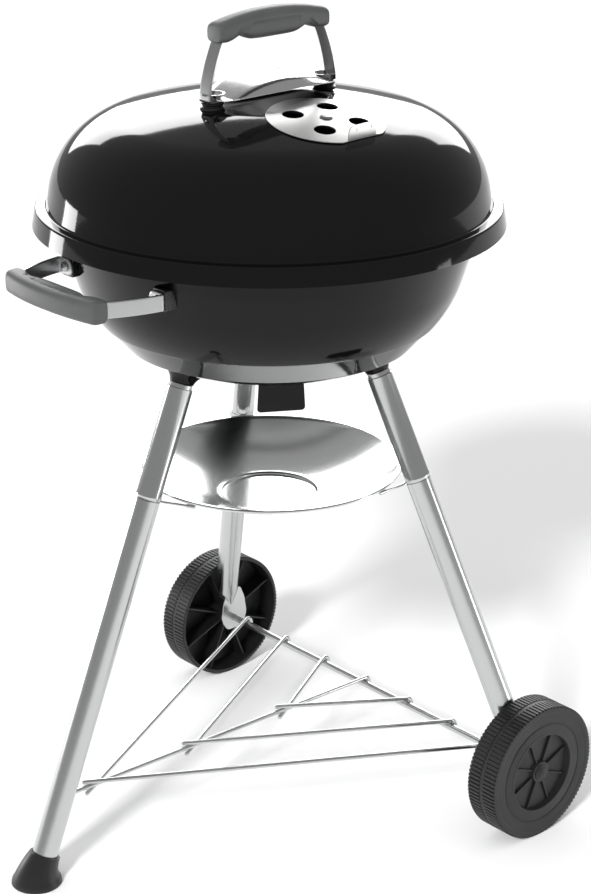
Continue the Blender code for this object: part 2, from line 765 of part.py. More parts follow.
# ---- Bowl -----------------------------------------------------------------------------------
def build_bowl(kettle, mats):
    """Enamelled bowl with its handle, grate bearers, grates and damper."""
    shell = turned("bowl_shell", bowl_section(), KETTLE_SEGS, kettle, mats["enamel"])
    neck_z = RIM_Z - BOWL_NECK_DROP
    around = skin(bowl_outline(), -GAP)
    envelope = turned("bowl_envelope", around + [(0.0, neck_z)], KETTLE_SEGS, kettle)
    build_bowl_handle(kettle, envelope, mats)
    build_bowl_damper(kettle, shell, mats)
    build_bearers(kettle, mats)
    build_grates(kettle, mats)
    return envelope


def build_bowl_handle(kettle, envelope, mats):
    wall = math.sqrt(bowl_r(BOWL_HANDLE_Z) ** 2 - BOLT_SPAN ** 2)
    seat = empty("bowl_handle_seat", (0, -wall - BOWL_HANDLE_STAND, BOWL_HANDLE_Z),
                 (math.pi / 2, 0, 0), kettle)
    strap = build_handle("bowl_handle", seat, mats)
    for side, u in (("left", -BOLT_SPAN), ("right", BOLT_SPAN)):
        axis = empty("bowl_screw_axis_" + side, (u, 0, 0), (0, 0, 0), seat)
        head = STRAP_T + GAP
        bore = rod("bowl_screw_cutter_" + side, BOLT_R + GAP, -SCREW_LEN - GAP,
                   head + BOLT_HEAD_H, axis)
        cut(strap, bore)
        low = (-BRACKET_W / 2, -BRACKET_H / 2, -BRACKET_REACH)
        high = (BRACKET_W / 2, BRACKET_H / 2, -GAP)
        bracket = block("bowl_handle_bracket_" + side, low, high, axis, mats["black"])
        cut(bracket, envelope, bore)
        screw = bolt_outline(head, -SCREW_LEN)
        turned("bowl_handle_screw_" + side, screw, PIN_SEGS, axis, mats["zinc"])


def build_bowl_damper(kettle, shell, mats):
    """Disc with a hanging tab that turns under four vents in the bowl's bottom."""
    axis = empty("bowl_damper_axis", (0, 0, 0), (0, 0, BOWL_TAB_AZ), kettle)
    near = BOWL_CROWN_R + SKIN_PLAY
    far = near + DAMPER_SHEET
    outline = disc_outline(BOWL_CZ, near, far, BOWL_DAMPER_R, -1)
    disc = turned("bowl_damper", outline, WHEEL_SEGS, axis, mats["enamel"])
    base = BOWL_CZ - math.sqrt(near ** 2 - BOWL_TAB_DIST ** 2)
    shape = tab_outline(BOWL_TAB_W, base, base - BOWL_TAB_DROP, BOWL_TAB_CORNER,
                        BOWL_TAB_TAPER)
    tab = plate("bowl_tab", shape, BOWL_TAB_DIST - DAMPER_SHEET, BOWL_TAB_DIST, axis)
    beyond = block("bowl_tab_trim",
                   (BOWL_TAB_DIST - DAMPER_SHEET / 4, -BOWL_TAB_W, base - BOWL_TAB_DROP),
                   (BOWL_DAMPER_R * 2, BOWL_TAB_W, base + BOWL_TAB_DROP), axis)
    low = bowl_z(0.0) - BOWL_TAB_DROP
    high = bowl_z(0.0) + BOWL_TAB_DROP
    vents = pattern("bowl_vent_cutter", BOWL_VENT_R, BOWL_VENT_DIST, VENT_COUNT, math.pi / 4,
                    low, high, axis)
    bore = rod("bowl_pivot_cutter", RIVET_R + GAP, low, high, axis)
    cut(disc, beyond)
    weld(disc, tab)
    cut(disc, vents, bore)
    cut(shell, vents, bore)
    under = bowl_z(0.0) - SKIN_PLAY - DAMPER_SHEET - GAP
    over = bowl_z(0.0) + SHEET + SKIN_PLAY
    pivot = [(0.0, over + RIVET_R), (RIVET_HEAD_R, over + RIVET_R), (RIVET_HEAD_R, over),
             (RIVET_R, over), (RIVET_R, under), (RIVET_HEAD_R, under),
             (RIVET_HEAD_R, under - RIVET_R), (0.0, under - RIVET_R)]
    turned("bowl_damper_pivot", pivot, PIN_SEGS, axis, mats["zinc"])


def build_bearers(kettle, mats):
    """Three angle brackets inside the bowl that carry the cooking grate."""
    top = RIM_Z - GRATE_DROP - GRATE_WIRE_R - GAP
    fit = skin(bowl_outline(), SHEET + GAP)
    inside = turned("bearer_fit", fit + [(0.0, fit[-1][1])], KETTLE_SEGS, kettle)
    core = [p for p in skin(bowl_outline(), SHEET + GAP + BEARER_T) if p[1] < top - BEARER_T]
    wall = bowl_r(top - BEARER_T) - (SHEET + GAP + BEARER_T) / math.cos(BOWL_LEAN)
    core += [(wall, top - BEARER_T), (0.0, top - BEARER_T)]
    hollow = turned("bearer_core", core, KETTLE_SEGS, kettle)
    reach = bowl_r(top) - SHEET - BEARER_REACH
    for number, degrees in enumerate(BEARER_AZ, start=1):
        seat = empty(f"bearer_seat_{number}", (0, 0, 0), (0, 0, math.radians(degrees)), kettle)
        piece = block(f"grate_bearer_{number}", (reach, -BEARER_W / 2, top - BEARER_H),
                      (KETTLE_R, BEARER_W / 2, top), seat, mats["zinc"])
        modify(piece, inside, "INTERSECT")
        cut(piece, hollow)


def build_grates(kettle, mats):
    cooking = empty("cooking_grate_axis", (0, 0, 0), (0, 0, 0), kettle)
    ring_z = RIM_Z - GRATE_DROP
    ring_r = bowl_r(ring_z) - SHEET - GRATE_EDGE - GRATE_WIRE_R
    wire_grate("cooking_grate", ring_r, ring_z, GRATE_WIRE_R, GRATE_ROD_R, GRATE_ROD_PITCH,
               cooking, mats["steel"])
    coal = empty("charcoal_grate_axis", (0, 0, 0), (0, 0, 0), kettle)
    shoulder, cone_r = bowl_ledge()
    coal_z = shoulder[0][1] + SHEET + GAP + COAL_WIRE_R
    wire_grate("charcoal_grate", cone_r - COAL_EDGE, coal_z, COAL_WIRE_R, COAL_ROD_R,
               COAL_ROD_PITCH, coal, mats["iron"])


def wire_grate(name, ring_r, ring_z, wire_r, rod_r, pitch, parent, finish_of):
    """Round wire frame with parallel rods welded on top and two bars between."""
    section = arc((ring_r, ring_z), wire_r, 0, 2 * math.pi, WIRE_SIDES)[:-1]
    grate = turned(name, section, KETTLE_SEGS, parent, finish_of)
    rods = []
    count = int((ring_r - wire_r) / pitch)
    rod_z = ring_z + (wire_r + rod_r) * ROD_BITE
    for i in range(-count, count + 1):
        half = math.sqrt(ring_r ** 2 - (i * pitch) ** 2) + wire_r / 2
        ends = [(-half, i * pitch, rod_z), (half, i * pitch, rod_z)]
        rods.append(wire("rod", ends, rod_r, parent, sides=ROD_SIDES))
    weld(grate, join(name + "_rods", rods, parent))
    bars = []
    for x in (-ring_r / 2, ring_r / 2):
        half = math.sqrt(ring_r ** 2 - x ** 2)
        ends = [(x, -half, ring_z), (x, half, ring_z)]
        bars.append(wire("bar", ends, wire_r * BAR_SHARE, parent, sides=ROD_SIDES))
    weld(grate, join(name + "_bars", bars, parent))
    return grate


# ---- Stand ----------------------------------------------------------------------------------
def build_leg(side, kettle, envelope, mats):
    """Socket on the bowl, plug, and a tube in two halves."""
    axis = empty("leg_axis_" + side, leg_point(side, LEG_TOP_Z), (0, -LEG_TILT, LEG_AZ[side]),
                 kettle)
    bore_r = LEG_R - LEG_WALL
    fit_r = bore_r - GAP
    pin_top = PLUG_NECK_H + PLUG_PIN_H
    plug = [(0.0, pin_top), (PLUG_PIN_R, pin_top), (PLUG_PIN_R, PLUG_NECK_H),
            (fit_r, PLUG_NECK_H), (fit_r, -PLUG_INSERT), (0.0, -PLUG_INSERT)]
    turned("leg_plug_" + side, plug, TUBE_SEGS, axis, mats["steel"])
    mouth = PLUG_NECK_H + GAP
    socket = [(0.0, mouth), (SOCKET_MOUTH_R, mouth),
              (SOCKET_MOUTH_R + SOCKET_LIP, mouth + SOCKET_LIP_H),
              (SOCKET_FLARE_R - SOCKET_FLARE, SOCKET_WAIST_H), (SOCKET_FLARE_R, SOCKET_H),
              (0.0, SOCKET_H)]
    shoe = turned("leg_socket_" + side, socket, TUBE_SEGS, axis, mats["enamel"])
    pin = rod("leg_pin_cutter_" + side, PLUG_PIN_R + GAP, 0.0, pin_top + GAP, axis)
    cut(shoe, envelope, pin)
    length = UPPER_LEG_DROP / math.cos(LEG_TILT)
    tube = [(LEG_R, 0.0), (LEG_R, -length), (fit_r, -length), (fit_r, -length - SWAGE_LEN),
            (fit_r - LEG_WALL, -length - SWAGE_LEN), (fit_r - LEG_WALL, LEG_WALL - length),
            (bore_r, 2 * LEG_WALL - length), (bore_r, 0.0)]
    turned("upper_leg_" + side, tube, TUBE_SEGS, axis, mats["steel"])
    return axis, length + GAP


def build_front_leg(kettle, envelope, mats):
    axis, start = build_leg("front", kettle, envelope, mats)
    end = (LEG_TOP_Z - FOOT_FLOOR) / math.cos(LEG_TILT)
    tube = [(LEG_R, -start), (LEG_R, -end), (LEG_R - LEG_WALL, -end), (LEG_R - LEG_WALL, -start)]
    leg = turned("lower_leg_front", tube, TUBE_SEGS, axis, mats["steel"])
    hole = wire("rack_hole_cutter", [(0, -leg_r(RACK_FRONT_Z), RACK_FRONT_Z),
                                     (0, LEG_R * 2 - leg_r(RACK_FRONT_Z), RACK_FRONT_Z)],
                (RACK_WIRE_R + GAP) * 1.1, kettle, sides=TUBE_SEGS)
    cut(leg, hole)
    build_foot(kettle, axis, end, mats)


def build_foot(kettle, axis, end, mats):
    """Conical foot with a slanted socket for the front leg."""
    base = leg_r(0.0)
    heights = [(0.0, FOOT_R, 0.0, base), (FOOT_LIP_H, FOOT_R - FOOT_LIP_IN, 0.0, base)]
    collar_r = LEG_R + FOOT_COLLAR
    for share in (0.45, 0.8, 1.0):
        z = FOOT_LIP_H + (FOOT_H - FOOT_LIP_H) * share
        radius = FOOT_R + (collar_r - FOOT_R) * share ** FOOT_HOLLOW
        heights.append((z, radius, LEG_TILT * share, leg_r(z * share)))
    rings = []
    for z, radius, tilt, reach in heights:
        ring = []
        for i in range(TUBE_SEGS):
            a = 2 * math.pi * i / TUBE_SEGS
            out = radius * math.cos(a)
            ring.append((radius * math.sin(a), -reach - out * math.cos(tilt),
                         z + out * math.sin(tilt)))
        rings.append(ring)
    foot = loft("foot_cap", rings, kettle, mats["black"])
    seat = rod("foot_leg_cutter", LEG_R + GAP, -end - GAP, -end + 2 * FOOT_H, axis)
    cut(foot, seat)


def paddle_frame(side, z):
    """Middle, half-width vector, half-thickness vector and squareness of a wheel leg at z."""
    a = LEG_AZ[side]
    across = Vector((-math.sin(a), math.cos(a), 0))
    outward = Vector((math.cos(LEG_TILT) * math.cos(a), math.cos(LEG_TILT) * math.sin(a),
                      math.sin(LEG_TILT)))
    t = min(max((TAPER_START_Z - z) / (TAPER_START_Z - FLAT_START_Z), 0.0), 1.0)
    t = t * t * (3 - 2 * t)
    flat_across = Vector((0, math.copysign(PADDLE_HALF_W, across.y), 0))
    flat_out = Vector((math.copysign(PADDLE_T / 2, outward.x), 0, 0))
    middle = leg_point(side, z)
    flat_middle = Vector((math.copysign(PADDLE_X, middle.x), middle.y, z))
    return (middle.lerp(flat_middle, t), (across * LEG_R).lerp(flat_across, t),
            (outward * LEG_R).lerp(flat_out, t), 1.0 + (PADDLE_SQUARE - 1.0) * t)


def paddle_ring(frame, width, inset):
    middle, across, outward, square = frame
    across = across * max(1 - inset / across.length, 0.1) * width
    outward = outward * max(1 - inset / outward.length, 0.25)
    ring = []
    for i in range(TUBE_SEGS):
        c, s = squared(2 * math.pi * i / TUBE_SEGS, square)
        ring.append(middle + outward * c + across * s)
    return ring


def build_wheel_leg(side, kettle, envelope, axle_hole, mats):
    """Leg whose lower tube is pressed flat and pierced for the axle."""
    start = build_leg(side, kettle, envelope, mats)[1]
    top_z = LEG_TOP_Z - start * math.cos(LEG_TILT)
    steps = 4
    press = [TAPER_START_Z + (FLAT_START_Z - TAPER_START_Z) * i / steps for i in range(steps + 1)]
    heights = [top_z] + press
    outer = [paddle_ring(paddle_frame(side, z), 1.0, 0.0) for z in heights]
    inner = [paddle_ring(paddle_frame(side, z), 1.0, LEG_WALL) for z in heights[:-1]]
    for i in range(steps + 1):
        a = PADDLE_TURN * i / steps
        z = WHEEL_R - PADDLE_DROP * math.sin(a)
        outer.append(paddle_ring(paddle_frame(side, z), math.cos(a), 0.0))
    leg = loft("lower_leg_" + side, inner[::-1] + outer, kettle, mats["steel"])
    cut(leg, axle_hole)


def build_axle(kettle, mats):
    """Steel axle with a press-on plastic cap at each end; returns its holes' cutter."""
    axis = empty("axle_axis", (0, AXLE_Y, WHEEL_R), (0, math.pi / 2, 0), kettle)
    hub_out = WHEEL_X + WHEEL_W / 2 - HUB_SINK
    end = hub_out + AXLE_PROUD
    rod("axle", AXLE_R, -end, end, axis, mats["zinc"], sides=PIN_SEGS)
    for side, turn in (("right", math.pi / 2), ("left", -math.pi / 2)):
        seat = empty("hub_cap_seat_" + side, (0, AXLE_Y, WHEEL_R), (0, turn, 0), kettle)
        bore = AXLE_R + GAP
        cap = [(0.0, hub_out + CAP_H), (CAP_R * CAP_TOP_SHARE, hub_out + CAP_H),
               (CAP_R, hub_out + CAP_EDGE_H), (CAP_R, hub_out + GAP), (bore, hub_out + GAP),
               (bore, end + GAP), (0.0, end + GAP)]
        turned("hub_cap_" + side, cap, PIN_SEGS, seat, mats["black"])
    return rod("axle_hole_cutter", AXLE_R + GAP, -WHEEL_X, WHEEL_X, axis, sides=PIN_SEGS)


def build_wheel(side, kettle, mats):
    """Moulded wheel: tread, recessed outer face, hollow inner side, ribs and hub."""
    sign = 1 if side == "right" else -1
    axis = empty("wheel_axis_" + side, (sign * WHEEL_X, AXLE_Y, WHEEL_R),
                 (0, sign * math.pi / 2, 0), kettle)
    half = WHEEL_W / 2
    bore = AXLE_R + GAP
    inner = PADDLE_T / 2 + GAP - WHEEL_STAND
    outer = half - HUB_SINK
    floor = half - RECESS_DEPTH
    web = floor - WHEEL_WEB
    outline = [(bore, inner), (HUB_R, inner), (HUB_R, web), (WHEEL_HOLLOW_R, web),
               (WHEEL_HOLLOW_R, -half), (WHEEL_R - WHEEL_CHAMFER, -half),
               (WHEEL_R, WHEEL_CHAMFER - half), (WHEEL_R, half - WHEEL_CHAMFER),
               (WHEEL_R - WHEEL_CHAMFER, half), (WHEEL_RECESS_R, half),
               (WHEEL_RECESS_R, floor), (HUB_R, floor), (HUB_R, outer), (bore, outer)]
    wheel = turned("wheel_" + side, outline, WHEEL_SEGS, axis, mats["black"])
    ribs = []
    for i in range(RIB_COUNT):
        turn = Matrix.Rotation(2 * math.pi * i / RIB_COUNT, 4, "Z")
        bite = RIB_T / 4
        spans = ((WHEEL_RECESS_R, floor - bite, outer - HUB_SINK),
                 (WHEEL_HOLLOW_R, RIB_T * 3 - half, web + bite))
        for reach, low, high in spans:
            rib = block("rib", (HUB_R - bite, -RIB_T / 2, low), (reach + bite, RIB_T / 2, high),
                        axis)
            rib.data.transform(turn)
            ribs.append(rib)
    weld(wheel, join("ribs_" + side, ribs, axis))


# ---- Ash catcher and rack -------------------------------------------------------------------
def ash_rim_r():
    return leg_r(JOINT_Z) - LEG_R / math.cos(LEG_TILT) - ASH_EDGE


def build_ash_catcher(kettle, mats):
    """Spun dish with a dimple in its middle and a turned-down rim."""
    axis = empty("ash_catcher_axis", (0, 0, 0), (0, 0, 0), kettle)
    rim = ash_rim_r()
    low = JOINT_Z - ASH_DEPTH
    floor = low - ASH_DIMPLE_STEP
    inner = rim - ASH_RIM_W
    top = [(0.0, floor), (ASH_DIMPLE_R - ASH_DIMPLE_STEP, floor), (ASH_DIMPLE_R, low)]
    steps = 4
    for i in range(1, steps + 1):
        t = i / steps
        r = ASH_DIMPLE_R + (inner - ASH_DIMPLE_R) * t
        top.append((r, low + (ASH_DEPTH - ASH_SHEET) * t - ASH_BELLY * 4 * t * (1 - t)))
    top.append((rim - ASH_SHEET / 2, JOINT_Z))
    under = skin(top, -ASH_SHEET)
    lip = [(rim, JOINT_Z - ASH_SHEET / 2), (rim, JOINT_Z - ASH_RIM_H),
           (rim - ASH_SHEET, JOINT_Z - ASH_RIM_H), (rim - ASH_SHEET, JOINT_Z - ASH_SHEET * 1.2)]
    turned("ash_catcher", top + lip + under[:-1][::-1], PAN_SEGS, axis, mats["polished"])


def build_clip(side, kettle, mats):
    """Wire clip at a leg's joint; its two thick ends carry the ash catcher's rim."""
    seat = empty("ash_clip_seat_" + side, (0, 0, 0), (0, 0, LEG_AZ[side]), kettle)
    z = JOINT_Z - ASH_RIM_H - GAP - CLIP_TIP_R
    near = leg_r(z) - LEG_R / math.cos(LEG_TILT) - GAP - CLIP_R
    tip = math.sqrt((ash_rim_r() - CLIP_TIP_R) ** 2 - CLIP_ARM ** 2)
    neck = CLIP_ARM - CLIP_TIP_LEN
    neck_x = near + (tip - near) * (neck - LEG_R / 2) / (CLIP_ARM - LEG_R / 2)
    half = [(near, LEG_R / 2, z), (neck_x, neck - GAP, z), (neck_x, neck, z), (tip, CLIP_ARM, z)]
    points = [(x, -y, height) for x, y, height in half[::-1]] + half
    radii = [CLIP_TIP_R, CLIP_TIP_R, CLIP_R, CLIP_R]
    wire("ash_clip_" + side, points, radii + radii[::-1], seat, mats["zinc"])


def rack_z(y):
    """Height of the spine wire's middle at y."""
    front = -leg_r(RACK_FRONT_Z)
    back = WHEEL_R + AXLE_R + RACK_WIRE_R + GAP
    return RACK_FRONT_Z + (back - RACK_FRONT_Z) * (y - front) / (AXLE_Y - front)


def hook(x):
    """Points of a wire's end that hooks over the axle at x."""
    reach = AXLE_R + RACK_WIRE_R + GAP
    turn = arc((AXLE_Y, WHEEL_R), reach, math.pi / 2, RACK_HOOK, 4)
    return [(x, y, z) for y, z in turn]


def build_rack(kettle, mats):
    """Seven straight wires: a spine from the front leg and three pairs that spread from it."""
    front = -leg_r(RACK_FRONT_Z)
    start = (0, front + LEG_R - RACK_TUCK, RACK_FRONT_Z)
    wire("rack_spine", [start] + hook(0.0), RACK_WIRE_R, kettle, mats["steel"])
    cross = 2 * RACK_WIRE_R + GAP
    widest = PADDLE_X - RACK_INSET
    for row in range(RACK_ROWS):
        y = front + RACK_FIRST + RACK_PITCH * row
        reach = widest * (RACK_ROWS - row) / RACK_ROWS
        for side, sign in (("right", 1), ("left", -1)):
            middle = Vector((0, y, rack_z(y) + sign * cross))
            end = Vector(hook(sign * reach)[0])
            run = (end - middle).normalized()
            points = [middle - run * RACK_STUB] + hook(sign * reach)
            wire(f"rack_wire_{side}_{row + 1}", points, RACK_WIRE_R, kettle, mats["steel"])


def build():
    clear_scene()
    mats = {
        "enamel": material("black_porcelain_enamel", (0.012, 0.012, 0.013), 0.12, 0.0),
        "steel": material("plated_steel", (0.62, 0.62, 0.61), 0.32, 1.0),
        "aluminium": material("brushed_aluminium", (0.72, 0.72, 0.71), 0.35, 1.0),
        "polished": material("polished_aluminium", (0.80, 0.80, 0.79), 0.18, 1.0),
        "iron": material("bare_steel_rod", (0.28, 0.28, 0.29), 0.45, 1.0),
        "zinc": material("zinc_plated_steel", (0.55, 0.55, 0.56), 0.38, 1.0),
        "nylon": material("grey_glass_filled_nylon", (0.14, 0.14, 0.14), 0.50, 0.0),
        "black": material("black_plastic", (0.030, 0.030, 0.031), 0.50, 0.0),
    }
    kettle = empty("kettle_axis", (0, KETTLE_Y, 0), (0, 0, 0), None)
    build_lid(kettle, mats)
    envelope = build_bowl(kettle, mats)
    axle_hole = build_axle(kettle, mats)
    build_front_leg(kettle, envelope, mats)
    for side in ("right", "left"):
        build_wheel_leg(side, kettle, envelope, axle_hole, mats)
        build_wheel(side, kettle, mats)
    build_ash_catcher(kettle, mats)
    for side in LEG_AZ:
        build_clip(side, kettle, mats)
    build_rack(kettle, mats)
    bpy.context.view_layer.update()


build()
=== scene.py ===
"""Kettle charcoal grill on a wheeled stand: the finished look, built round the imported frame.

Units are metres and +Z is up. The leg with the foot points to -Y and the axle lies along X.
The sections follow the grill as it is put together, from the bowl down and then the lid.
"""
import math

import bmesh
import bpy
from mathutils import Matrix, Vector


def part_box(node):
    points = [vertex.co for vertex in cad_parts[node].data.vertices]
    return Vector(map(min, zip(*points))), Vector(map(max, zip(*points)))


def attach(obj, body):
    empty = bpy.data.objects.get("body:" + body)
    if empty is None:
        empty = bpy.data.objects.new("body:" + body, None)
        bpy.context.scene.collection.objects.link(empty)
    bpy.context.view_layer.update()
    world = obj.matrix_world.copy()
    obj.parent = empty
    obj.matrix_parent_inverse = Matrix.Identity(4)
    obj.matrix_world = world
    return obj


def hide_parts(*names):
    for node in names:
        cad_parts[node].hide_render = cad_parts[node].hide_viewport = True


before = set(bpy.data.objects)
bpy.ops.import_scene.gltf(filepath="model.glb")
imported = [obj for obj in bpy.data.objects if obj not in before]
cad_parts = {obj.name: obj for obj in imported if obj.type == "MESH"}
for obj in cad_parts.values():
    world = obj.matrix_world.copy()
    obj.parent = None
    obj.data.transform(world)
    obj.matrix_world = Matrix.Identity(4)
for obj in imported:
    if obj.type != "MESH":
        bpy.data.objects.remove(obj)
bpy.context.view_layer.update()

# ---- Studio ---------------------------------------------------------------------------------
# A plain pale floor that fills the view. A soft sun on the camera's left throws the shadow, a
# wide wall of light behind the grill is mirrored by the crown, and two tall strips at the sides
# draw the bands down the tubes.
lid_low, lid_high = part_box("lid_shell")
AXIS_Y = (lid_low.y + lid_high.y) / 2


def linear(code, alpha=1.0):
    """sRGB hex colour as linear RGBA."""
    parts = [int(code[i:i + 2], 16) / 255 for i in (1, 3, 5)]
    return (*(c / 12.92 if c <= 0.04045 else ((c + 0.055) / 1.055) ** 2.4 for c in parts), alpha)


def add_node(tree, kind, settings=None, links=None):
    """Add a node: settings are {input or attribute: value}, links are {input: output socket}."""
    node = tree.nodes.new(kind)
    for key, value in (settings or {}).items():
        if isinstance(key, int) or key in node.inputs:
            node.inputs[key].default_value = value
        else:
            setattr(node, key, value)
    for key, socket in (links or {}).items():
        tree.links.new(node.inputs[key], socket)
    return node


def new_material(name, colour, roughness, metallic=0.0, **sockets):
    """Principled material; returns it with its tree and shader."""
    mat = bpy.data.materials.new(name)
    mat.use_nodes = True
    shader = mat.node_tree.nodes["Principled BSDF"]
    shader.inputs["Base Color"].default_value = linear(colour)
    shader.inputs["Roughness"].default_value = roughness
    shader.inputs["Metallic"].default_value = metallic
    for key, value in sockets.items():
        shader.inputs[key].default_value = value
    return mat, mat.node_tree, shader


camera = bpy.data.objects.new("camera", bpy.data.cameras.new("camera"))
camera.location = (1.7615, AXIS_Y - 1.5261, 1.3144)
camera.rotation_euler = (math.radians(68.651), 0.0, math.radians(49.094))
camera.data.lens = 93.15
camera.data.shift_x = 0.0292
camera.data.shift_y = 0.0068
bpy.context.scene.collection.objects.link(camera)
bpy.context.scene.camera = camera
bpy.context.scene.view_settings.view_transform = "Standard"

FLOOR_HALF = 14.0
floor_mesh = bpy.data.meshes.new("studio_floor")
floor_mesh.from_pydata([(x * FLOOR_HALF, y * FLOOR_HALF, 0.0)
                        for x, y in ((-1, -1), (1, -1), (1, 1), (-1, 1))], [], [(0, 1, 2, 3)])
floor = bpy.data.objects.new("studio_floor", floor_mesh)
bpy.context.scene.collection.objects.link(floor)
floor_mesh.materials.append(new_material("matt_white_floor", "#F4F4F4", 0.9)[0])

world = bpy.data.worlds.new("soft_studio_air")
world.use_nodes = True
world.node_tree.nodes["Background"].inputs["Color"].default_value = linear("#FFFFFF")
world.node_tree.nodes["Background"].inputs["Strength"].default_value = 0.36
bpy.context.scene.world = world


def add_light(name, kind, location, target, **settings):
    """Light at a place, pointed at a target."""
    data = bpy.data.lights.new(name, kind)
    for key, value in settings.items():
        setattr(data, key, value)
    light = bpy.data.objects.new(name, data)
    light.location = location
    aim = Vector(target) - Vector(location)
    light.rotation_euler = aim.to_track_quat("-Z", "Y").to_euler()
    light.visible_camera = False
    bpy.context.scene.collection.objects.link(light)
    return light


SUN_STEP = Vector((-0.66, 1.40, -1.0))
sun = add_light("soft_sun", "SUN", -3.0 * SUN_STEP, (0, 0, 0), energy=3.0,
                angle=math.radians(9))
sun.visible_glossy = False
fill = add_light("overhead_fill", "SUN", (0, 0, 6), (0, 0, 0), energy=1.20,
                 angle=math.radians(120))
fill.visible_glossy = False
across = Vector((0.6548, 0.7558, 0.0))
ahead = Vector((-0.7558, 0.6548, 0.0))
aim_at = Vector((0.0, 0.05, 0.75))
wall = add_light("rear_light_wall", "AREA", aim_at + ahead * 3.2 + Vector((0, 0, 1.05)), aim_at,
                 shape="RECTANGLE", size=4.2, size_y=1.5, energy=135.0)
wall.visible_diffuse = False
STRIP_H = 0.62
STRIP_DROP = 0.42
for name, side, depth, width, power in (("right_strip", 1.9, -0.2, 0.30, 3.5),
                                        ("far_left_strip", -1.9, 0.9, 0.50, 12.0)):
    place = aim_at + across * side + ahead * depth - Vector((0, 0, STRIP_DROP))
    add_light(name, "AREA", place, Vector((0.0, 0.05, place.z)), shape="RECTANGLE",
              size=width, size_y=STRIP_H, energy=power)

# ---- Bowl -----------------------------------------------------------------------------------
# The bowl is drawn from steel sheet, its rim is rolled outward round a wire, and it is then
# dipped in black porcelain enamel and fired, which leaves a glassy skin with a faint ripple.
RIM_Z = lid_low.z + 0.0194
KETTLE_R = 0.2314
SHEET = 0.0012
GAP = 0.0003
ROUND_STEPS = 160


def grain_node(tree, scale, detail, stretch=None):
    """Noise in object space, scale per metre; stretch is a scale per axis for drawn-out grain."""
    vector = add_node(tree, "ShaderNodeTexCoord").outputs["Object"]
    if stretch:
        vector = add_node(tree, "ShaderNodeMapping", {"Scale": stretch},
                          {"Vector": vector}).outputs["Vector"]
    noise = add_node(tree, "ShaderNodeTexNoise", {"Scale": scale, "Detail": detail},
                     {"Vector": vector})
    return noise.outputs["Fac"]


def drive_roughness(tree, shader, fac, low, high):
    """Let a pattern set the roughness between low and high."""
    spread = add_node(tree, "ShaderNodeMapRange", {"To Min": low, "To Max": high}, {"Value": fac})
    tree.links.new(shader.inputs["Roughness"], spread.outputs["Result"])


def drive_bump(tree, shader, fac, strength, distance):
    """Let a pattern raise the surface by up to distance."""
    bump = add_node(tree, "ShaderNodeBump", {"Strength": strength, "Distance": distance},
                    {"Height": fac})
    tree.links.new(shader.inputs["Normal"], bump.outputs["Normal"])


enamel, tree, shader = new_material("black_porcelain_enamel_fired", "#0B0B0C", 0.06, IOR=1.30)
ripple = grain_node(tree, 160.0, 2.0)  # ripple of about 6 mm
drive_bump(tree, shader, ripple, 0.05, 0.0004)
haze = grain_node(tree, 14.0, 4.0)
drive_roughness(tree, shader, haze, 0.045, 0.085)


def arc(centre, radius, start, end, steps):
    """Points on an arc; angles in degrees from the first axis towards the second."""
    points = []
    for i in range(steps + 1):
        a = math.radians(start + (end - start) * i / steps)
        points.append((centre[0] + radius * math.cos(a), centre[1] + radius * math.sin(a)))
    return points


def rounded(path, radius, steps=3, closed=False):
    """Replace each corner of a path of two or three coordinates by a short curve."""
    points = [Vector(p) for p in path]
    count = len(points)
    out = [] if closed else [points[0]]
    for i in range(0 if closed else 1, count if closed else count - 1):
        before = points[i - 1]
        corner = points[i]
        after = points[(i + 1) % count]
        reach = min(radius, (before - corner).length / 2.1, (after - corner).length / 2.1)
        start = corner + (before - corner).normalized() * reach
        end = corner + (after - corner).normalized() * reach
        for k in range(steps + 1):
            t = k / steps
            out.append(start.lerp(corner, t).lerp(corner.lerp(end, t), t))
    if not closed:
        out.append(points[-1])
    return [tuple(p) for p in out]


def offset(points, distance):
    """The outline moved to its left; ends on the axis stay on the axis."""
    moved = []
    for i, point in enumerate(points):
        here = Vector(point)
        into = (here - Vector(points[i - 1])).normalized() if i else None
        away = (Vector(points[i + 1]) - here).normalized() if i + 1 < len(points) else into
        into = into or away
        left = Vector((-into.y, into.x))
        right = Vector((-away.y, away.x))
        place = here + (left + right) * distance / (1 + left.dot(right))
        moved.append((0.0, place.y) if point[0] == 0.0 else (place.x, place.y))
    return moved


def finish_mesh(name, bm, mat, sharp=34):
    """Named object from a bmesh, faces out, smooth with sharp edges kept."""
    bmesh.ops.remove_doubles(bm, verts=bm.verts, dist=1e-6)
    bmesh.ops.recalc_face_normals(bm, faces=bm.faces)
    mesh = bpy.data.meshes.new(name)
    bm.to_mesh(mesh)
    bm.free()
    mesh.shade_smooth()
    mesh.set_sharp_from_angle(angle=math.radians(sharp))
    obj = bpy.data.objects.new(name, mesh)
    if mat:
        mesh.materials.append(mat)
    bpy.context.scene.collection.objects.link(obj)
    return obj


def loft(name, rings, mat, closed=False, sharp=34):
    """Skin equal rings of points; the two ends are capped unless the row is closed."""
    bm = bmesh.new()
    rows = [[bm.verts.new(p) for p in ring] for ring in rings]
    pairs = list(zip(rows, rows[1:]))
    if closed:
        pairs.append((rows[-1], rows[0]))
    count = len(rows[0])
    for a, b in pairs:
        for i in range(count):
            j = (i + 1) % count
            bm.faces.new((a[i], b[i], b[j], a[j]))
    if not closed:
        bm.faces.new(rows[0])
        bm.faces.new(rows[-1])
    return finish_mesh(name, bm, mat, sharp)


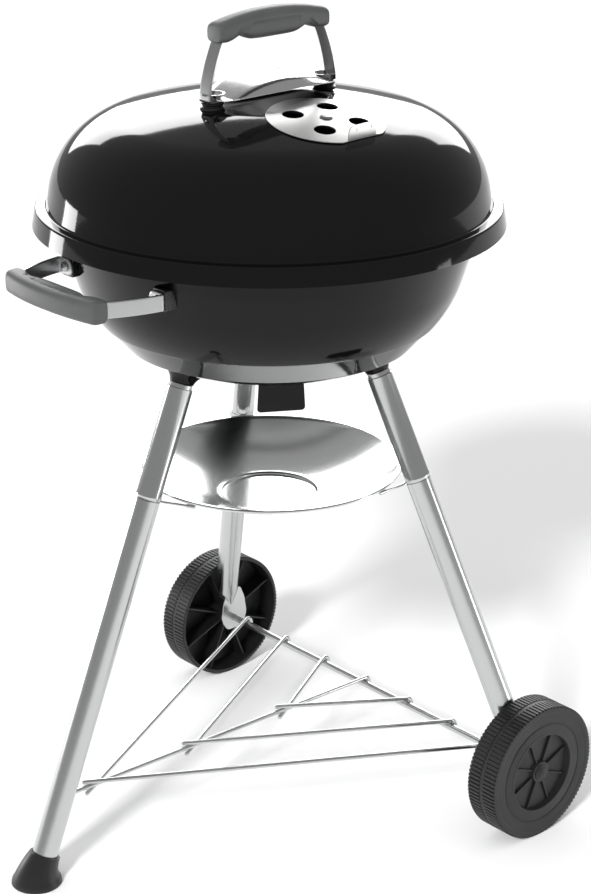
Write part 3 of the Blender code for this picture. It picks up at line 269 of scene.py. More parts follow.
def lathe(name, outline, mat, steps=ROUND_STEPS, sharp=34):
    """Turn an outline of (r, z) round Z; an outline that leaves the axis is closed on itself."""
    bm = bmesh.new()
    rows = []
    for r, z in outline:
        if r < 1e-7:
            rows.append([bm.verts.new((0.0, 0.0, z))] * steps)
            continue
        turns = [2 * math.pi * i / steps for i in range(steps)]
        rows.append([bm.verts.new((r * math.cos(a), r * math.sin(a), z)) for a in turns])
    pairs = list(zip(rows, rows[1:]))
    if outline[0][0] > 1e-7:
        pairs.append((rows[-1], rows[0]))
    for a, b in pairs:
        for i in range(steps):
            j = (i + 1) % steps
            corners = []
            for vert in (a[i], b[i], b[j], a[j]):
                if vert not in corners:
                    corners.append(vert)
            if len(corners) > 2:
                bm.faces.new(corners)
    return finish_mesh(name, bm, mat, sharp)


def carve(piece, tools, operation="DIFFERENCE", sharp=34):
    """Cut or join a piece with tools, keep the result as its mesh and drop the tools."""
    for tool in tools:
        mod = piece.modifiers.new("carve", "BOOLEAN")
        mod.operation = operation
        mod.solver = "EXACT"
        mod.object = tool
    bpy.context.view_layer.update()
    graph = bpy.context.evaluated_depsgraph_get()
    mesh = bpy.data.meshes.new_from_object(piece.evaluated_get(graph))
    piece.modifiers.clear()
    piece.data = mesh
    mesh.shade_smooth()
    mesh.set_sharp_from_angle(angle=math.radians(sharp))
    for tool in tools:
        bpy.data.objects.remove(tool, do_unlink=True)
    return piece


def ring_of_holes(radius, distance, count, low, high, base):
    """Round cutters on a circle about the Z axis of a placement matrix."""
    holes = []
    for i in range(count):
        a = math.pi / 4 + 2 * math.pi * i / count
        hole = lathe("hole", [(0.0, high), (radius, high), (radius, low), (0.0, low)], None, 48)
        hole.matrix_world = base @ Matrix.Translation((distance * math.cos(a),
                                                       distance * math.sin(a), 0.0))
        holes.append(hole)
    return holes


kettle_place = Matrix.Translation((0.0, AXIS_Y, 0.0))
neck = (KETTLE_R - 0.0104, RIM_Z - 0.0154)
BOWL_LEAN = 16.6
wall_foot = (neck[0] - 0.0590 * math.tan(math.radians(BOWL_LEAN)), neck[1] - 0.0590)
SHOULDER_R = 0.1348
shoulder_centre = (wall_foot[0] - SHOULDER_R * math.cos(math.radians(BOWL_LEAN)),
                   wall_foot[1] + SHOULDER_R * math.sin(math.radians(BOWL_LEAN)))
shoulder = arc(shoulder_centre, SHOULDER_R, -38.9, -BOWL_LEAN, 16)
LEDGE_W = 0.0025
CONE_H = 0.0262
ledge_z = shoulder[0][1]
cone_r = shoulder[0][0] - LEDGE_W
ring_r = cone_r - CONE_H * math.tan(math.radians(41.2))
ring_z = ledge_z - CONE_H
CROWN_SAG = 0.0365
bowl_crown_r = (ring_r ** 2 + CROWN_SAG ** 2) / (2 * CROWN_SAG)
bowl_crown_z = ring_z - CROWN_SAG + bowl_crown_r
crown_edge = math.degrees(math.asin(ring_r / bowl_crown_r))


def bowl_radius(z):
    """Outer radius of the bowl's straight wall at height z."""
    return neck[0] - (neck[1] - z) * math.tan(math.radians(BOWL_LEAN))


corner_of_ring = rounded([(ring_r - 0.006, bowl_crown_z - math.sqrt(
    bowl_crown_r ** 2 - (ring_r - 0.006) ** 2)), (ring_r, ring_z),
    (cone_r, ledge_z - LEDGE_W / 4), shoulder[0], shoulder[1]], 0.0011, 4)
bowl_outside = arc((0.0, bowl_crown_z), bowl_crown_r, -90, crown_edge - 93, 22)
bowl_outside[0] = (0.0, bowl_outside[0][1])
bowl_outside += corner_of_ring[1:-1] + shoulder[1:] + [neck]
BEAD_R = 0.0052
bead = arc((KETTLE_R - 0.0004, RIM_Z - SHEET - GAP - BEAD_R), BEAD_R, -110, 160, 18)
bowl = lathe("bowl_enamel_shell", bowl_outside + bead + offset(bowl_outside, SHEET)[::-1], enamel)
bowl.matrix_world = kettle_place
VENT_TURN = math.radians(-30)
damper_place = kettle_place @ Matrix.Rotation(VENT_TURN, 4, "Z")
bowl_floor_z = bowl_crown_z - bowl_crown_r
carve(bowl, ring_of_holes(0.014, 0.040, 4, bowl_floor_z - 0.02, bowl_floor_z + 0.03,
                          damper_place))
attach(bowl, "stand")
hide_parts("bowl_shell")

# ---- Bowl damper and its pivot -------------------------------------------------------------
# A pressed disc under the bowl opens and shuts four round vents. Its hanging tab is bent from
# the same enamelled sheet, and a zinc-plated pivot with two flanges holds it to the bowl.
zinc, tree, shader = new_material("bright_zinc_plating", "#A9ABAD", 0.34, 1.0)
spangle = grain_node(tree, 500.0, 3.0)  # crystals of about 2 mm
drive_roughness(tree, shader, spangle, 0.26, 0.42)


def domed_disc(name, sphere_r, sphere_z, near, thickness, edge_r, up, mat):
    """Thin disc that follows a sphere at a distance near from it, with a rounded edge."""
    outline = []
    low = sphere_r + near
    high = low + thickness
    for i in range(13):
        r = edge_r * i / 12
        outline.append((r, sphere_z + up * math.sqrt(high ** 2 - r ** 2)))
    edge_z = sphere_z + up * (math.sqrt(low ** 2 - edge_r ** 2) + thickness / 2)
    outline.append((edge_r + thickness / 3, edge_z))
    for i in range(12, -1, -1):
        r = edge_r * i / 12
        outline.append((r, sphere_z + up * math.sqrt(low ** 2 - r ** 2)))
    return lathe(name, outline, mat, 128)


def bent_tab(name, x, half, base, tip, corner, flare, thickness, mat):
    """Upright tongue of sheet at x, with two round corners at its tip."""
    sign = 1 if tip > base else -1
    outline = [(-half + flare, base), (half - flare, base)]
    outline += arc((half - corner, tip - sign * corner), corner, 0, 90 * sign, 8)
    outline += arc((corner - half, tip - sign * corner), corner, 90 * sign, 180 * sign, 8)
    rim = thickness / 5
    inner = [((y * (1 - rim / half)), base + (z - base) * (1 - rim / abs(tip - base)))
             for y, z in outline]
    levels = ((x - thickness, inner), (x - thickness + rim, outline), (x - rim, outline),
              (x, inner))
    return loft(name, [[(px, y, z) for y, z in shape] for px, shape in levels], mat)


DAMPER_T = 0.0010
bowl_disc = domed_disc("bowl_damper_disc", bowl_crown_r, bowl_crown_z, 0.0008, DAMPER_T, 0.0716,
                       -1, enamel)
bowl_disc.matrix_world = damper_place
tab_base = bowl_crown_z - math.sqrt((bowl_crown_r + 0.0008) ** 2 - 0.066 ** 2) - 0.0006
bowl_tab = bent_tab("tab", 0.066, 0.0255, tab_base, tab_base - 0.0314, 0.004, 0.0015, 0.0012,
                    enamel)
bowl_tab.matrix_world = damper_place
carve(bowl_disc, [bowl_tab], "UNION")
carve(bowl_disc, ring_of_holes(0.014, 0.040, 4, bowl_floor_z - 0.02, bowl_floor_z + 0.03,
                               damper_place))
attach(bowl_disc, "bowl_damper_disc")
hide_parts("bowl_damper")

pivot_top = bowl_floor_z + SHEET + 0.0008
pivot_low = bowl_floor_z - 0.0021
pivot_outline = rounded([(0.0, pivot_top + 0.003), (0.007, pivot_top + 0.003), (0.007, pivot_top),
                         (0.003, pivot_top), (0.003, pivot_low), (0.007, pivot_low),
                         (0.007, pivot_low - 0.003), (0.0, pivot_low - 0.003)], 0.0008)
pivot = lathe("bowl_damper_pivot_pin", pivot_outline, zinc, 48)
pivot.matrix_world = kettle_place
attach(pivot, "stand")
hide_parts("bowl_damper_pivot")

# ---- Grates and their bearers ---------------------------------------------------------------
# Two grates of welded rod: the cooking grate is bright plated and lies on three small angle
# brackets, and the charcoal grate is bare dark rod and lies on the step in the bowl.
plated_wire, tree, shader = new_material("bright_plated_wire", "#C6C7C7", 0.22, 1.0)
drawn = grain_node(tree, 700.0, 2.0)  # die marks of about 1.5 mm
drive_roughness(tree, shader, drawn, 0.17, 0.30)

bare_rod, tree, shader = new_material("bare_hot_rolled_rod", "#4A4947", 0.55, 1.0)
scale_skin = grain_node(tree, 260.0, 5.0)  # mill scale in flakes of 4 mm
scale_colour = add_node(tree, "ShaderNodeMix", {"data_type": "RGBA", 6: linear("#3A3937"),
                                                7: linear("#605D59")},
                        {"Factor": scale_skin})
tree.links.new(shader.inputs["Base Color"], scale_colour.outputs[2])
drive_bump(tree, shader, scale_skin, 0.3, 0.0002)


def tube_rings(points, radius, sides=16):
    """Rings of a round bar along points, without twist; radius may vary along it."""
    points = [Vector(p) for p in points]
    radii = radius if isinstance(radius, list) else [radius] * len(points)
    tangents = []
    for i in range(len(points)):
        step = points[min(i + 1, len(points) - 1)] - points[max(i - 1, 0)]
        tangents.append(step.normalized())
    side = tangents[0].orthogonal().normalized()
    rings = []
    for point, tangent, r in zip(points, tangents, radii):
        side = (side - tangent * side.dot(tangent)).normalized()
        other = tangent.cross(side)
        turns = [2 * math.pi * k / sides for k in range(sides)]
        rings.append([point + (side * math.cos(a) + other * math.sin(a)) * r for a in turns])
    return rings


def round_ends(points, radius):
    """Points and radii of a bar whose two ends are rounded off."""
    points = [Vector(p) for p in points]
    first = (points[1] - points[0]).normalized()
    last = (points[-2] - points[-1]).normalized()
    ends = [(0.0, 0.35), (0.1, 0.72), (0.35, 0.95)]
    head = [points[0] + first * radius * along for along, _ in ends]
    tail = [points[-1] + last * radius * along for along, _ in ends]
    shares = [share for _, share in ends]
    middle = [points[0] + first * radius] + points[1:-1] + [points[-1] + last * radius]
    end_radii = [radius * s for s in shares]
    return head + middle + tail[::-1], end_radii + [radius] * len(middle) + end_radii[::-1]


def bar(name, points, radius, mat, sides=16):
    """Round bar with rounded ends."""
    path, radii = round_ends(points, radius)
    return loft(name, tube_rings(path, radii, sides), mat)


def join_pieces(name, pieces):
    """Gather the meshes of several pieces, in world places, into the first one's object."""
    bm = bmesh.new()
    bpy.context.view_layer.update()
    for piece in pieces:
        mesh = piece.data.copy()
        mesh.transform(piece.matrix_world)
        bm.from_mesh(mesh)
    mat = pieces[0].data.materials[0]
    for piece in pieces:
        bpy.data.objects.remove(piece, do_unlink=True)
    mesh = bpy.data.meshes.new(name)
    bm.to_mesh(mesh)
    bm.free()
    mesh.materials.append(mat)
    mesh.shade_smooth()
    mesh.set_sharp_from_angle(angle=math.radians(34))
    obj = bpy.data.objects.new(name, mesh)
    bpy.context.scene.collection.objects.link(obj)
    return obj


def welded_grate(name, node, wire_r, rod_r, pitch, mat):
    """Round frame with parallel rods on top and two cross bars, as big as its CAD node."""
    low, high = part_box(node)
    ring = (high.x - low.x) / 2 - wire_r
    ring_height = low.z + wire_r
    parts = [lathe("ring", arc((ring, ring_height), wire_r, 0, 345, 23), mat, 128)]
    rod_height = ring_height + (wire_r + rod_r) * 0.82
    count = int((ring - wire_r) / pitch)
    for i in range(-count, count + 1):
        half = math.sqrt(ring ** 2 - (i * pitch) ** 2) + wire_r * 0.4
        parts.append(bar("rod", [(-half, i * pitch, rod_height), (half, i * pitch, rod_height)],
                         rod_r, mat, 12))
    for x in (-ring / 2, ring / 2):
        half = math.sqrt(ring ** 2 - x ** 2)
        parts.append(bar("cross", [(x, -half, ring_height), (x, half, ring_height)],
                         wire_r * 0.9, mat, 12))
    grate = join_pieces(name, parts)
    grate.matrix_world = kettle_place
    return grate


cooking = welded_grate("cooking_grate_welded", "cooking_grate", 0.003, 0.0021, 0.012, plated_wire)
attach(cooking, "cooking_grid")
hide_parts("cooking_grate")
charcoal = welded_grate("charcoal_grate_welded", "charcoal_grate", 0.0032, 0.0028, 0.016, bare_rod)
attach(charcoal, "charcoal_grid")
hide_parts("charcoal_grate")
for number in (1, 2, 3):
    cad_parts[f"grate_bearer_{number}"].data.materials.clear()
    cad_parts[f"grate_bearer_{number}"].data.materials.append(zinc)

# ---- Handles: strap, grip and fixings --------------------------------------------------------
# Each handle is a flat bar of plated steel bent into a bow with its feet turned inward, and a
# grip of grey glass-filled nylon moulded round its middle, with finger ribs on the inner side.
brushed_bar, tree, shader = new_material("brushed_plated_bar", "#B4B5B5", 0.30, 1.0)
grain = grain_node(tree, 1.0, 3.0, (40.0, 2500.0, 40.0))  # polishing lines, 0.4 mm apart
drive_bump(tree, shader, grain, 0.12, 0.0001)

nylon, tree, shader = new_material("grey_glass_filled_nylon_moulded", "#4A4B4B", 0.50)
mould = grain_node(tree, 1600.0, 2.0)  # spark-eroded grain of 0.6 mm
drive_bump(tree, shader, mould, 0.25, 0.0002)
cloud = grain_node(tree, 60.0, 3.0)
cloud_colour = add_node(tree, "ShaderNodeMix", {"data_type": "RGBA", 6: linear("#444545"),
                                                7: linear("#4F5050")},
                        {"Factor": cloud})
tree.links.new(shader.inputs["Base Color"], cloud_colour.outputs[2])

black_resin, tree, shader = new_material("black_phenolic_moulding", "#151516", 0.28)
flow = grain_node(tree, 300.0, 2.0)  # flow marks of about 3 mm
drive_roughness(tree, shader, flow, 0.22, 0.36)

BOLT_SPAN = 0.0750
STRAP_T = 0.0025
STRAP_W = 0.0168
GRIP_HALF = 0.0730
GRIP_W = 0.0240
GRIP_BOTTOM = 0.0572
GRIP_TOP_MIDDLE = 0.0870
GRIP_TOP_END = 0.0780


def strap_bow():
    """Middle line (u, v) of the bent bar: feet turned in, arms leaning in as they rise."""
    arm = []
    for i in range(13):
        v = 0.006 + (0.064 - 0.006) * i / 12
        arm.append((0.0855 - 0.1087 * v - 3.1 * v * v, v))
    foot = [(0.0635, STRAP_T / 2), (0.0800, STRAP_T / 2)]
    bend = rounded([foot[-1], (0.0850, STRAP_T / 2), arm[0], arm[1]], 0.004, 5)
    half = foot + bend[1:-1] + arm[1:]
    across = rounded([half[-1], (0.0610, 0.0690), (0.0, 0.0690)], 0.004, 4)[1:]
    right = half + across[:-1]
    return [(-u, v) for u, v in right] + [(0.0, 0.0690)] + right[::-1]


def strap_mesh(name, mat):
    """Bar with rounded edges swept along the bow; its two feet end in a half circle."""
    path = [Vector(p) for p in strap_bow()]
    section = rounded([(-1, -1), (1, -1), (1, 1), (-1, 1)], 0.35, 3, True)
    rings = []
    ends = [(0.0, 0.35), (0.0012, 0.66), (0.0032, 0.88), (0.0060, 0.99)]
    stations = []
    foot_step = (path[1] - path[0]).normalized()
    for along, share in ends:
        stations.append((path[0] + foot_step * along, share))
    stations += [(p, 1.0) for p in path[1:-1]]
    foot_step = (path[-2] - path[-1]).normalized()
    for along, share in ends[::-1]:
        stations.append((path[-1] + foot_step * along, share))
    for i, (p, share) in enumerate(stations):
        before = stations[max(i - 1, 0)][0]
        after = stations[min(i + 1, len(stations) - 1)][0]
        mean = (after - before).normalized()
        normal = Vector((-mean.y, mean.x)) * STRAP_T / 2
        ring = []
        for w, n in section:
            ring.append((p.x + normal.x * n, w * share * STRAP_W / 2, p.y + normal.y * n))
        rings.append(ring)
    return loft(name, rings, mat)


def grip_ring(u, share):
    """Section of the grip at u: flat-sided oblong with a recessed, ribbed finger panel."""
    sides = 64
    reach = abs(u) / GRIP_HALF
    top = GRIP_TOP_MIDDLE - (GRIP_TOP_MIDDLE - GRIP_TOP_END) * reach ** 2.2
    notch = 0.0058 * math.exp(-((reach - 0.60) / 0.12) ** 2)
    bulge = -0.0010 * math.exp(-(reach / 0.42) ** 4)
    bottom = GRIP_BOTTOM + notch + bulge + 0.0012
    ribs = 0.0003 * math.cos(2 * math.pi * u / 0.0026) if reach < 0.62 else 0.0
    middle = (top + GRIP_BOTTOM) / 2
    seam = GRIP_BOTTOM + (top - GRIP_BOTTOM) * 0.64 * max(0.0, 1 - (reach / 0.86) ** 4.0)
    ring = []
    for i in range(sides):
        a = 2 * math.pi * (i + 0.5) / sides
        c = math.copysign(abs(math.cos(a)) ** 0.58, math.cos(a))
        s = math.copysign(abs(math.sin(a)) ** 0.58, math.sin(a))
        v = middle + share * s * (top - GRIP_BOTTOM) / 2
        if s < 0:
            v += (bottom - GRIP_BOTTOM + ribs) * (-s) ** 1.5
        under = min(max((seam - v) / 0.0005, 0.0), 1.0)
        ring.append((u, share * c * (GRIP_W / 2 - 0.0013 * under), v))
    return ring


def grip_mesh(name, mat):
    """Grip from end to end, with rounded ends."""
    stations = []
    for i in range(6):
        a = math.radians(18 * i)
        stations.append((-GRIP_HALF + 0.005 * (1 - math.cos(a)), 0.78 + 0.22 * math.sin(a)))
    inner = GRIP_HALF - 0.0052
    steps = 190
    stations += [(-inner + 2 * inner * i / steps, 1.0) for i in range(steps + 1)]
    stations += [(-u, share) for u, share in stations[:6][::-1]]
    return loft(name, [grip_ring(u, share) for u, share in sorted(stations)], mat, sharp=50)


def bolt_mesh(name, head, tip, mat):
    """Domed screw head with a cross slot, whose underside is at head, and its shank."""
    outline = [(0.0, head + 0.0032)] + arc((0.0, head - 0.0022), 0.0055, 88, 30, 8)
    outline += [(0.0055, head + 0.0004), (0.0055, head), (0.003, head), (0.003, tip), (0.0, tip)]
    screw = lathe(name, outline, mat, 40)
    slots = []
    for turn in (0.0, math.pi / 2):
        ring = [(-0.0026, -0.0005), (0.0026, -0.0005), (0.0026, 0.0005), (-0.0026, 0.0005)]
        rings = [[(x, y, z) for x, y in ring] for z in (head + 0.0018, head + 0.006)]
        slot = loft("slot", rings, None)
        slot.data.transform(Matrix.Rotation(turn, 4, "Z"))
        slots.append(slot)
    return carve(screw, slots)


handle_z = RIM_Z - 0.0474
handle_wall = math.sqrt(bowl_radius(handle_z) ** 2 - BOLT_SPAN ** 2)
HANDLE_STAND = 0.0090
bowl_seat = Matrix.Translation((0.0, AXIS_Y - handle_wall - HANDLE_STAND, handle_z))
bowl_seat = bowl_seat @ Matrix.Rotation(math.pi / 2, 4, "X")
bowl_strap = strap_mesh("bowl_handle_bar", brushed_bar)
bowl_strap.matrix_world = bowl_seat
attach(bowl_strap, "stand")
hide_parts("bowl_handle_strap")
bowl_grip = grip_mesh("bowl_handle_moulded_grip", nylon)
bowl_grip.matrix_world = bowl_seat
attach(bowl_grip, "stand")
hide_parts("bowl_handle_grip")
for side, u in (("left", -BOLT_SPAN), ("right", BOLT_SPAN)):
    spot = bowl_seat @ Matrix.Translation((u, 0.0, 0.0))
    screw = bolt_mesh(f"bowl_handle_screw_{side}_domed", STRAP_T + GAP, -0.006, zinc)
    screw.matrix_world = spot
    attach(screw, "stand")
    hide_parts(f"bowl_handle_screw_{side}")
    outline = rounded([(-0.0095, -0.011), (0.0095, -0.011), (0.0095, 0.011), (-0.0095, 0.011)],
                      0.0025, 4, True)
    small = [(x * 0.93, y * 0.94) for x, y in outline]
    levels = [(small, -GAP), (outline, -0.0012), (outline, -0.030)]
    bracket = loft(f"bowl_handle_bracket_{side}_moulded",
                   [[(x, y, z) for x, y in ring] for ring, z in levels], black_resin)
    bracket.matrix_world = spot
    shape = offset(bowl_outside, -GAP) + [(0.0, neck[1])]
    body_tool = lathe("bowl_body", shape, None, 128)
    body_tool.matrix_world = kettle_place
    carve(bracket, [body_tool])
    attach(bracket, "stand")
    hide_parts(f"bowl_handle_bracket_{side}")

# ---- Legs -----------------------------------------------------------------------------------
# Three legs of plated steel tube, each in two lengths that push together at a rolled bead.
# A steel plug joins each to an enamelled socket under the bowl, and a cone stands on the floor.
tube_steel, tree, shader = new_material("satin_plated_tube", "#C6C8C7", 0.22, 1.0)
tube_grain = grain_node(tree, 1.0, 3.0, (900.0, 900.0, 14.0))  # lengthwise lines, 1 mm apart
drive_bump(tree, shader, tube_grain, 0.03, 0.0001)
drive_roughness(tree, shader, tube_grain, 0.18, 0.26)

LEG_R = 0.0136
LEG_WALL = 0.0010
LEG_TILT = math.radians(21.86)
leg_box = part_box("upper_leg_front")
LEG_TOP_Z = leg_box[1].z - LEG_R * math.sin(LEG_TILT)
LEG_TOP_R = 0.1220
JOINT_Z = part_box("ash_catcher")[1].z
NECK_H = 0.0046
leg_turn = {"front": -90, "right": 30, "left": 150}


def leg_reach(z):
    """Distance from the kettle's axis to a leg's middle at height z."""
    return LEG_TOP_R + math.tan(LEG_TILT) * (LEG_TOP_Z - z)


def leg_place(side):
    """Placement with its origin at the top of a leg's tube and Z up along the leg."""
    a = math.radians(leg_turn[side])
    spot = Matrix.Translation((LEG_TOP_R * math.cos(a), AXIS_Y + LEG_TOP_R * math.sin(a),
                               LEG_TOP_Z))
    return spot @ Matrix.Rotation(a, 4, "Z") @ Matrix.Rotation(-LEG_TILT, 4, "Y")


upper_len = (LEG_TOP_Z - JOINT_Z) / math.cos(LEG_TILT)
BEAD = 0.0006
for side in leg_turn:
    place = leg_place(side)
    bore = LEG_R - LEG_WALL
    plug = lathe(f"leg_plug_{side}_turned", rounded(
        [(0.0, NECK_H + 0.007), (0.008, NECK_H + 0.007), (0.008, NECK_H), (bore - GAP, NECK_H),
         (bore - GAP, -0.025), (0.0, -0.025)], 0.0006), plated_wire, 64)
    plug.matrix_world = place
    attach(plug, "stand")
    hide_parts(f"leg_plug_{side}")
    mouth = NECK_H + GAP
    socket = lathe(f"leg_socket_{side}_enamelled", rounded(
        [(0.0, mouth), (0.0128, mouth), (0.0138, mouth + 0.004), (0.0160, 0.0120),
         (0.0200, 0.0165), (0.0215, 0.026), (0.0, 0.026)], 0.0012), enamel, 64)
    socket.matrix_world = place
    body_tool = lathe("bowl_body", offset(bowl_outside, -GAP) + [(0.0, neck[1])], None, 128)
    body_tool.matrix_world = kettle_place
    pin_tool = lathe("pin_hole", [(0.0, NECK_H + 0.0073), (0.0083, NECK_H + 0.0073),
                                  (0.0083, 0.0), (0.0, 0.0)], None, 48)
    pin_tool.matrix_world = place
    carve(socket, [body_tool, pin_tool])
    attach(socket, "stand")
    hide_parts(f"leg_socket_{side}")
    outline = [(bore, -0.0004), (bore + 0.0003, 0.0), (LEG_R - 0.0004, 0.0), (LEG_R, -0.0005),
               (LEG_R, -upper_len + 0.0052), (LEG_R + BEAD, -upper_len + 0.0042),
               (LEG_R + BEAD, -upper_len + 0.0028), (LEG_R, -upper_len + 0.0018),
               (LEG_R, -upper_len + 0.0005), (LEG_R - 0.0005, -upper_len),
               (bore - GAP, -upper_len), (bore - GAP, -upper_len - 0.030),
               (bore - LEG_WALL, -upper_len - 0.030), (bore - LEG_WALL, -upper_len),
               (bore, -upper_len + 0.002)]
    tube = lathe(f"upper_leg_{side}_tube", outline, tube_steel, 64)
    tube.matrix_world = place
    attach(tube, "stand")
    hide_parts(f"upper_leg_{side}")

FOOT_FLOOR = 0.0120
place = leg_place("front")
lower_start = upper_len + GAP
lower_end = (LEG_TOP_Z - FOOT_FLOOR) / math.cos(LEG_TILT)
outline = [(LEG_R - 0.0005, -lower_start), (LEG_R, -lower_start - 0.0005), (LEG_R, -lower_end),
           (LEG_R - LEG_WALL, -lower_end), (LEG_R - LEG_WALL, -lower_start)]
front_leg = lathe("lower_leg_front_tube", outline, tube_steel, 64)
front_leg.matrix_world = place
RACK_FRONT_Z = 0.0880
RACK_WIRE_R = 0.0025
hole = loft("rack_hole", tube_rings([(0.0, AXIS_Y - leg_reach(RACK_FRONT_Z), RACK_FRONT_Z),
                                     (0.0, AXIS_Y - leg_reach(RACK_FRONT_Z) + 0.03, RACK_FRONT_Z)],
                                    0.0031, 32), None)
carve(front_leg, [hole])
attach(front_leg, "stand")
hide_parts("lower_leg_front")

black_foot, tree, shader = new_material("black_polypropylene_moulding", "#1A1A1B", 0.42)
foot_grain = grain_node(tree, 900.0, 3.0)  # moulded grain of about 1 mm
drive_bump(tree, shader, foot_grain, 0.18, 0.0002)

FOOT_R = 0.0268
FOOT_H = 0.0290
FOOT_LIP_H = 0.0040
collar_r = LEG_R + 0.0030
levels = [(0.0, FOOT_R - 0.0008, 0.0, 0.0), (0.0006, FOOT_R, 0.0, 0.0),
          (FOOT_LIP_H, FOOT_R - 0.0006, 0.0, 0.0)]
for i in range(1, 13):
    share = i / 12
    levels.append((FOOT_LIP_H + (FOOT_H - FOOT_LIP_H) * share,
                   FOOT_R + (collar_r - FOOT_R) * share ** 0.7, LEG_TILT * share,
                   share * (FOOT_LIP_H + (FOOT_H - FOOT_LIP_H) * share)))
rings = []
for z, radius, tilt, follow in levels:
    ring = []
    for i in range(64):
        a = 2 * math.pi * i / 64
        out = radius * math.cos(a)
        ring.append((radius * math.sin(a), AXIS_Y - leg_reach(follow) - out * math.cos(tilt),
                     z + out * math.sin(tilt)))
    rings.append(ring)
foot = loft("foot_cone_moulded", rings, black_foot)
seat_top = -lower_end + 2 * FOOT_H
seat_tool = lathe("leg_seat", [(0.0, seat_top), (LEG_R + GAP, seat_top),
                               (LEG_R + GAP, -lower_end - GAP), (0.0, -lower_end - GAP)], None, 64)
seat_tool.matrix_world = place
carve(foot, [seat_tool])
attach(foot, "stand")
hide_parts("foot_cap")

# The two wheel legs end in a flat paddle pierced for the axle: the tube is flattened towards the
# wheel and narrows to a ridge in the middle of the paddle, whose shoulders stand out beside it.
axle_low, axle_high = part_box("axle")
AXLE_Y = (axle_low.y + axle_high.y) / 2
AXLE_Z = (axle_low.z + axle_high.z) / 2
AXLE_R = (axle_high.z - axle_low.z) / 2
PADDLE_T = 0.0030
PADDLE_HALF = 0.0200
PADDLE_X = LEG_TOP_R * math.cos(math.radians(30)) + math.tan(LEG_TILT) * math.cos(
    math.radians(30)) * (LEG_TOP_Z - 0.1265)
FLAT_TOP = 0.1600
NARROW_TOP = AXLE_Z + 0.0400
TAPER_TIP = AXLE_Z + 0.0100


def wheel_leg_ring(sign, z):
    """Section of a wheel leg at z: round, flattened towards the wheel, then a narrow ridge."""
    a = math.radians(30)
    narrow = min(max((NARROW_TOP - z) / (NARROW_TOP - TAPER_TIP), 0.0), 1.0)
    clear = 0.0035 * min(max((z - 0.118) / 0.03, 0.0), 1.0)
    across = Vector((-math.sin(a), math.cos(a), 0.0))
    outward = Vector((math.cos(LEG_TILT) * math.cos(a), math.cos(LEG_TILT) * math.sin(a),
                      math.sin(LEG_TILT)))
    middle = Vector((leg_reach(z) * math.cos(a), leg_reach(z) * math.sin(a), z))
    ring = []
    for i in range(48):
        turn = 2 * math.pi * i / 48
        p = middle + (outward * math.cos(turn) + across * math.sin(turn)) * LEG_R
        p.x = min(p.x, PADDLE_X + PADDLE_T / 2 + clear)
        p.x += (PADDLE_X - p.x) * 0.9 * narrow ** 1.6
        p.y += (middle.y - p.y) * 0.94 * narrow
        p.z += (z - p.z) * narrow
        ring.append((sign * p.x, p.y + AXIS_Y, p.z))
    return ring


for side, sign in (("right", 1), ("left", -1)):
    top_z = LEG_TOP_Z - lower_start * math.cos(LEG_TILT)
    rings = [wheel_leg_ring(sign, top_z)]
    steps = 36
    for i in range(steps + 1):
        rings.append(wheel_leg_ring(sign, FLAT_TOP + (TAPER_TIP - FLAT_TOP) * i / steps))
    leg = loft("tube", rings, tube_steel)
    outline = [(-0.0110, -0.0140), (0.0110, -0.0140), (0.0170, -0.0060), (PADDLE_HALF, 0.0040),
               (0.0165, 0.0250), (0.0100, 0.0400), (-0.0100, 0.0400), (-0.0165, 0.0250),
               (-PADDLE_HALF, 0.0040), (-0.0170, -0.0060)]
    outline = rounded(outline, 0.0035, 5, True)
    inner = [(y * 0.975, z * 0.985) for y, z in outline]
    x = sign * PADDLE_X
    half = PADDLE_T / 2
    levels = [(x - half, inner), (x - half + 0.0006, outline), (x + half - 0.0006, outline),
              (x + half, inner)]
    paddle = loft("paddle", [[(px, AXLE_Y + y, AXLE_Z + z) for y, z in shape]
                             for px, shape in levels], tube_steel)
    bore_tool = lathe("axle_hole", [(0.0, 0.03), (AXLE_R + GAP, 0.03), (AXLE_R + GAP, -0.03),
                                    (0.0, -0.03)], None, 48)
    bore_tool.matrix_world = Matrix.Translation((x, AXLE_Y, AXLE_Z)) @ Matrix.Rotation(
        math.pi / 2, 4, "Y")
    carve(paddle, [bore_tool])
    leg = join_pieces(f"lower_leg_{side}_tube", [leg, paddle])
    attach(leg, "stand")
    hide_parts(f"lower_leg_{side}")

# ---- Axle, wheels and hub caps ---------------------------------------------------------------
# A plated steel axle carries two blow-moulded polyethylene wheels with a cross-blocked tread.
# Each wheel is hollow behind, ribbed on both sides, and held on by a pushed-on dark cap.
axle_rod = bar("axle_plated_rod", [(axle_low.x, AXLE_Y, AXLE_Z), (axle_high.x, AXLE_Y, AXLE_Z)],
               AXLE_R, plated_wire, 32)
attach(axle_rod, "stand")
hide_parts("axle")

wheel_black, tree, shader = new_material("black_polyethylene_moulding", "#161617", 0.50)
wheel_grain = grain_node(tree, 1100.0, 3.0)  # moulded grain of about 0.9 mm
drive_bump(tree, shader, wheel_grain, 0.2, 0.0002)
dust = grain_node(tree, 40.0, 4.0)
drive_roughness(tree, shader, dust, 0.42, 0.60)

WHEEL_R = AXLE_Z
WHEEL_HALF = 0.0194
WHEEL_STAND = 0.0253
HUB_R = 0.0120
HUB_SINK = 0.0020
RECESS_R = 0.0437
HOLLOW_R = 0.0718
RECESS_FLOOR = WHEEL_HALF - 0.0070
WEB = RECESS_FLOOR - 0.0040
TREAD_BLOCKS = 102          # blocks 4.7 mm apart
TREAD_DEPTH = 0.0013
RIB_T = 0.0020


